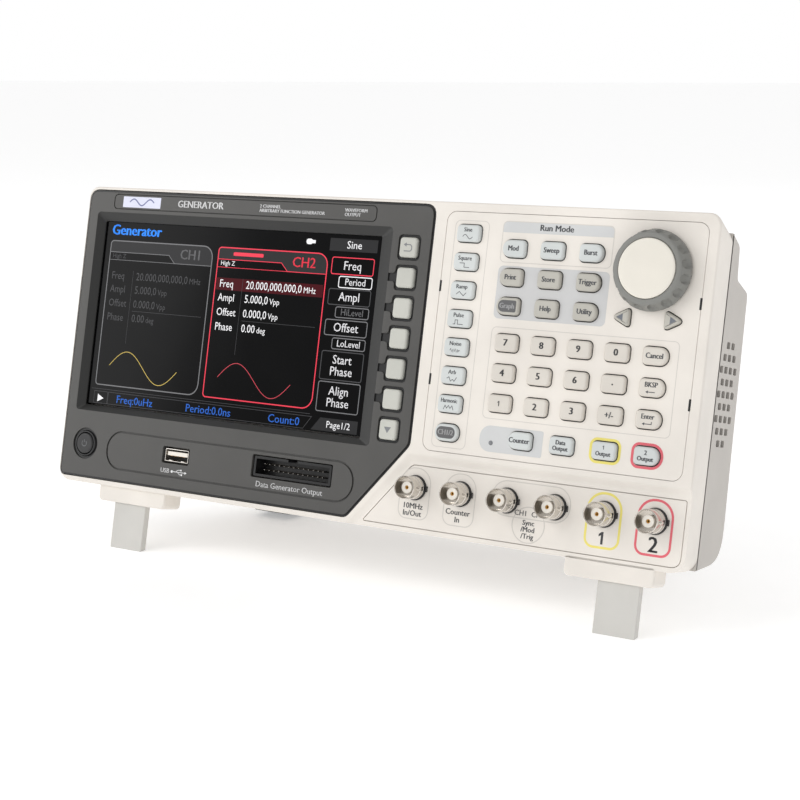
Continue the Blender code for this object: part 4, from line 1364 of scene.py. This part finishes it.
# %% Ports
ux, uz = USB_CENTRE
shell_rim = centred(ux, uz, 13.1, 5.7, 0.5)
parts = [(plate([shell_rim, grown(shell_rim, -0.32)], 0.5, 8.9, 0.1), NICKEL),
         (block(grown(shell_rim, -0.3), 7.6, 9.2), SATIN_BLACK),
         (block(centred(ux, uz + 0.75, 11.2, 1.8, 0.25), 1.0, 7.8, 0.15), INSULATOR)]
contact = block(centred(0.0, 0.0, 1.1, 0.14, 0.04, 1), 1.1, 7.4)
parts.append((grid_of(contact, GOLD, 4, 1, 2.3, 0.0, (ux, 0.0, uz - 0.22)), GOLD))
for side in (-1, 1):
    spring = block(centred(ux + side * 3.4, uz - 2.35, 1.9, 0.35, 0.1, 1), 0.8, 4.4, 0.08)
    parts.append((spring, NICKEL))
piece("serial_port", parts, "case")

hx, hz = HEADER_CENTRE
shroud_rim = centred(hx, hz, 40.6, 9.0, 0.7)
mouth = smooth_corners([(hx - 19.1, hz - 3.3), (hx + 19.1, hz - 3.3), (hx + 19.1, hz + 3.3),
                        (hx + 2.4, hz + 3.3), (hx + 2.4, hz + 5.4), (hx - 2.4, hz + 5.4),
                        (hx - 2.4, hz + 3.3), (hx - 19.1, hz + 3.3)], [0.3] * 8, 2)
walls = carved(block(shroud_rim, 0.3, 8.9, 0.25), block(mouth, -2.0, 7.4))
parts = [(walls, SATIN_BLACK)]
pin = loft([[(x, y, z) for x, z in centred(0.0, 0.0, w, w, 0.06, 1)]
            for w, y in ((0.26, 1.5), (0.64, 1.95), (0.64, 8.2))])
parts.append((grid_of(pin, NICKEL, 13, 2, 2.54, 2.54, (hx, 0.0, hz)), NICKEL))
piece("data_header", parts, "case")

board_low, board_high = face_box("connector_board")
board_rim = rounded(board_low.x, board_high.x, board_low.z, board_high.z, 2.0)
switch = block(centred(*POWER_CENTRE, 8.0, 8.0, 0.6), 6.4, 9.2, 0.3)
board = block(board_rim, 9.0, 10.6, 0.15, 0.15)
piece("port_board", [(board, SOLDER_MASK), (switch, SATIN_BLACK)], "case",
      ["connector_board"])
print("two ports, 26 header pins and their board")

# %% [markdown]
# ## Tilt legs
#
# Each leg is a flat bar with a round head. It turns on two pins in its foot block, and its
# tip is cut at an angle so that it lies flat on the bench. The outline is drawn in side
# view, so the block is made facing right and then turned to run across the case.

# %% Tilt legs
for side in FOOT_CENTRES:
    low, high = face_box(f"tilt_leg_{side}")
    leg_x = (low.x + high.x) / 2
    half = (high.x - low.x) / 2 - PIN_END
    half_t = (high.y - low.y) / 2
    pivot_y, pivot_z = (low.y + high.y) / 2, high.z - half_t
    tip_z = low.z - pivot_z
    rise = 2 * half_t * math.tan(TILT)
    head = [(-half_t * math.cos(a), half_t * math.sin(a))
            for a in [math.pi * i / 12 for i in range(13)]]
    bar = block(head + [(half_t, tip_z), (-half_t, tip_z + rise)], -half, half, 0.35, 0.35)
    reach = half + PIN_END
    pin = lathe([(0.02, -reach), (0.85, -reach), (1.0, 0.15 - reach), (1.0, reach - 0.15),
                 (0.85, reach), (0.02, reach)], 0.0, 0.0, 20)
    place_leg = Matrix.Translation((leg_x, pivot_y, pivot_z)) @ ACROSS
    for shape in (bar, pin):
        shape.transform(place_leg)
    piece(f"tilt_leg_bar_{side}", [(bar, LEG), (pin, LEG)], f"tilt_leg_{side}",
          [f"tilt_leg_{side}"])
print("legs reach", round(high.z - low.z, 1), "mm from head to tip")

# %% [markdown]
# ## Rear housing
#
# The grey housing is a shoulder behind the frame, stepped in side view, and a broad hump
# that holds the power supply. Each side has a field of square vent holes, and the back has
# two blocks of long slots. The shoulder's side view is an outline like any other, so it is
# thickened across the case with its edges rounded, and the holes are cut through it.

# %% Rear housing: the staggered vent field
vent_tree = new_tree("staggered_vents", [("Columns", "Int"), ("Rows", "Int"),
                                         ("Half Pitch", "Float"), ("Row Pitch", "Float"),
                                         ("Reach Across", "Float"), ("Reach Up", "Float"),
                                         ("Centre", "Vector"), ("Material", "Material")])
calc = functools.partial(add_math, vent_tree)
inputs = add_node(vent_tree, "NodeGroupInput")
position = add_node(vent_tree, "GeometryNodeInputPosition")
spot = add_node(vent_tree, "ShaderNodeSeparateXYZ", Vector=position.outputs["Position"])
column = calc("ROUND", calc("DIVIDE", spot.outputs["X"], inputs.outputs["Half Pitch"]))
row = calc("ROUND", calc("DIVIDE", spot.outputs["Y"], inputs.outputs["Row Pitch"]))
odd = calc("FLOORED_MODULO", calc("ADD", column, row), 2.0)
across = calc("DIVIDE", column, inputs.outputs["Reach Across"])
up = calc("DIVIDE", row, inputs.outputs["Reach Up"])
outside = calc("GREATER_THAN", calc("ADD", calc("MULTIPLY", across, across),
                                    calc("MULTIPLY", up, up)), 1.0)
prune = add_node(vent_tree, "GeometryNodeDeleteGeometry",
                 Geometry=set_out(vent_tree, inputs, "Half Pitch", "Row Pitch"),
                 Selection=calc("MAXIMUM", calc("SUBTRACT", 1.0, odd), outside))
place = add_node(vent_tree, "GeometryNodeInstanceOnPoints", Points=prune.outputs["Geometry"],
                 Instance=inputs.outputs["Geometry"])
turned = add_node(vent_tree, "GeometryNodeTransform", Geometry=place.outputs["Instances"],
                  Translation=inputs.outputs["Centre"],
                  Rotation=(math.radians(90), 0.0, math.radians(90)))
end_tree(vent_tree, inputs, turned.outputs["Geometry"])

# %% Rear housing: shoulder, hump and feet
SEAM_Y = FRAME_D + GAP
SHOULDER = [(SEAM_Y, 1.0), (30.7, 3.2), (36.8, 6.0), (40.0, 12.0), (40.3, 18.0), (37.2, 111.6),
            (24.3, 115.5), (22.9, 128.6), (SEAM_Y, 132.4)]
SHOULDER_CORNERS = [0.3, 3.0, 3.0, 2.5, 3.0, 2.2, 1.6, 2.2, 0.3]
BACK_Y = face_box("rear_housing")[1].y
HEEL_Y = 97.0


def turned_across(shape):
    """A block drawn with x as depth, turned so that it runs across the case."""
    shape.transform(Matrix.Rotation(math.pi / 2, 4, "Z") @ Matrix.Diagonal((1, -1, 1, 1)))
    solid = bmesh.new()
    solid.from_mesh(shape)
    if solid.calc_volume(signed=True) < 0.0:
        bmesh.ops.reverse_faces(solid, faces=solid.faces)
    solid.to_mesh(shape)
    solid.free()
    return shape


def hump(inset, front, back):
    """The bulge at the back: a rounded box that narrows towards its back face."""
    rings = []
    span = back - front
    edge = reversed(edge_steps(3.0, 5))
    for edge_in, y in [(0.0, front)] + [(edge_in, back - deep) for edge_in, deep in edge]:
        t = (y - front) / span
        half_w, low_z, high_z = 128.0 - 15.0 * t, 3.2 + 1.8 * t, 110.5 - 6.5 * t
        rim = rounded(-half_w, half_w, low_z, high_z, 7.0 + 2.0 * t)
        rings.append([(x, y, z) for x, z in grown(rim, -inset - edge_in)])
    return loft(rings)


shoulder_rim = smooth_corners(SHOULDER, SHOULDER_CORNERS, 4)
HOLLOW = [(8.0, 3.8), (30.4, 5.8), (34.9, 8.2), (37.5, 12.6), (37.8, 18.0), (34.8, 109.6),
          (21.9, 113.4), (20.5, 126.3), (8.0, 129.8)]
shoulder = turned_across(block(shoulder_rim, -HALF_W, HALF_W, 0.7, 0.7))
hollow = turned_across(block(HOLLOW, WALL - HALF_W, HALF_W - WALL))
VENT_CENTRE = (24.6, 70.2)
vent = moved(block(centred(0.0, 0.0, 3.4, 2.7, 0.4, 2), -3.0, 3.0), STAND_UP)
vent_fields = [grow(vent.copy(), vent_tree, SATIN_BLACK, Columns=9, Rows=9, Half_Pitch=2.5,
                    Row_Pitch=4.8, Reach_Across=3.5, Reach_Up=4.2,
                    Centre=(side * HALF_W, *VENT_CENTRE)) for side in (-1, 1)]
shoulder = carved(shoulder, hollow, *vent_fields)
bulge = carved(hump(0.0, 30.0, BACK_Y), hump(WALL, 20.0, BACK_Y - WALL))
slot = block(centred(0.0, 0.0, 26.0, 1.8, 0.85, 3), BACK_Y - 6.0, BACK_Y + 3.0)
slots = grid_of(slot, SATIN_BLACK, 2, 9, 32.0, 4.4, (18.0, 0.0, 72.0))
inlet_low, inlet_high = face_box("mains_inlet")
INLET = face_centre("mains_inlet")
inlet_hole = block(centred(*INLET, 28.1, 20.4, 0.8), BACK_Y - 6.0, BACK_Y + 3.0)
bulge = carved(bulge, slots, inlet_hole)
parts = [(shoulder, STONE), (bulge, STONE)]
# A black plate sunk inside each side wall closes the vent holes 1.2 mm in: painted shade, so the
# holes look dark inside.
for side in (-1, 1):
    vent_shade_rim = [(15.0, 46.0), (34.2, 46.0), (34.2, 95.0), (15.0, 95.0)]
    inner_x = side * (HALF_W - 1.6)
    vent_shade_plate = turned_across(block(vent_shade_rim, inner_x - 0.4, inner_x + 0.4, 0.1))
    parts.append((vent_shade_plate, SATIN_BLACK))
for side in (-1, 1):
    foot_rim = smooth_corners([(80.0, 8.0), (80.0, FOOT_Z + 1.2), (HEEL_Y, FOOT_Z + 1.2),
                               (103.0, FOOT_Z + 2.4), (103.0, 8.0)], [0.1, 2.0, 1.0, 2.0, 0.1], 4)
    foot = turned_across(block(foot_rim, side * 90.0 - 12.0, side * 90.0 + 12.0, 1.5, 1.5))
    pad_rim = [(82.0, FOOT_Z + 1.3), (82.0, FOOT_Z), (HEEL_Y, FOOT_Z), (101.5, FOOT_Z + 1.0),
               (101.5, FOOT_Z + 2.0)]
    pad = turned_across(block(pad_rim, side * 90.0 - 10.0, side * 90.0 + 10.0, 0.5, 0.5))
    parts += [(foot, STONE), (pad, RUBBER)]
seam_ring = block(rounded(0.45 - HALF_W, HALF_W - 0.45, 1.5, TOP_BACK_Z - 1.0, 4.0), FRAME_D - 1.5,
                  SEAM_Y + 1.0)
parts.append((carved(seam_ring, block(rounded(WALL - HALF_W, HALF_W - WALL, 3.0, TOP_BACK_Z - 3.0,
                                              3.0), 0.0, 40.0)), STONE))
piece("rear_case_housing", parts, "case", ["rear_housing"])

# %% [markdown]
# ## Fittings on the back
#
# The mains inlet has a moulded flange held by two screws, a deep mouth and three blades.
# Four more screws hold the housing to the frame. A screw head is a shallow dome with a
# crossed recess, cut once and set out by the grid tree.

# %% Fittings on the back
ix, iz = INLET
flange_rim = centred(ix, iz, 50.0, 24.0, 5.0)
body_rim = centred(ix, iz, 27.5, 19.8, 0.8)
mouth_rim = smooth_corners([(ix - 12.2, iz - 8.2), (ix + 12.2, iz - 8.2), (ix + 12.2, iz + 4.2),
                            (ix + 8.4, iz + 8.2), (ix - 8.4, iz + 8.2), (ix - 12.2, iz + 4.2)],
                           [1.6, 1.6, 1.0, 1.0, 1.0, 1.0], 3)
flange_back = inlet_high.y
flange = carved(block(flange_rim, flange_back - 2.0, flange_back, 0.2, 0.8),
                block(mouth_rim, 80.0, 120.0))
inlet_body = carved(block(body_rim, inlet_low.y, flange_back - 1.0, 0.4),
                    block(mouth_rim, 93.0, 120.0))
parts = [(flange, SATIN_BLACK), (inlet_body, SATIN_BLACK)]
for dx, dz in ((-7.0, -2.0), (0.0, 2.0), (7.0, -2.0)):
    parts.append((block(centred(ix + dx, iz + dz, 2.0, 4.0, 0.3, 2), 92.0, 105.0, 0.2, 0.6), STEEL))
piece("mains_inlet_socket", parts, "case", ["mains_inlet"])


def screw_head(radius, y):
    """A domed screw head with a crossed recess, facing the back."""
    dome = lathe([(radius, y - 0.6), (radius, y), (radius * 0.92, y + 0.35),
                  (radius * 0.6, y + 0.75), (0.02, y + 0.95)], 0.0, 0.0, 24)
    arms = [block(centred(0.0, 0.0, w, h, 0.12, 1), y + 0.2, y + 3.0)
            for w, h in ((radius * 1.1, 0.55), (0.55, radius * 1.1))]
    return carved(dome, *arms)


inlet_screws = grid_of(screw_head(2.2, flange_back - 0.1), STEEL, 2, 1, 40.0, 0.0, (ix, 0.0, iz))
case_screws = grid_of(screw_head(2.6, BACK_Y - 0.1), STEEL, 2, 2, 196.0, 78.0, (0.0, 0.0, 55.0))
piece("rear_screws", [(inlet_screws, STEEL), (case_screws, STEEL)], "case")
print("inlet and six screws fitted")

# %% [markdown]
# ## Boards inside
#
# The circuit boards stay as the CAD made them. They only need a better finish than plain
# green, because they show through the vents, so the same finish maker gives them one.

# %% Boards inside
for name in ("key_board", "main_board", "power_supply"):
    board = frame["nodes"][name]
    board.data.materials.clear()
    board.data.materials.append(SOLDER_MASK)
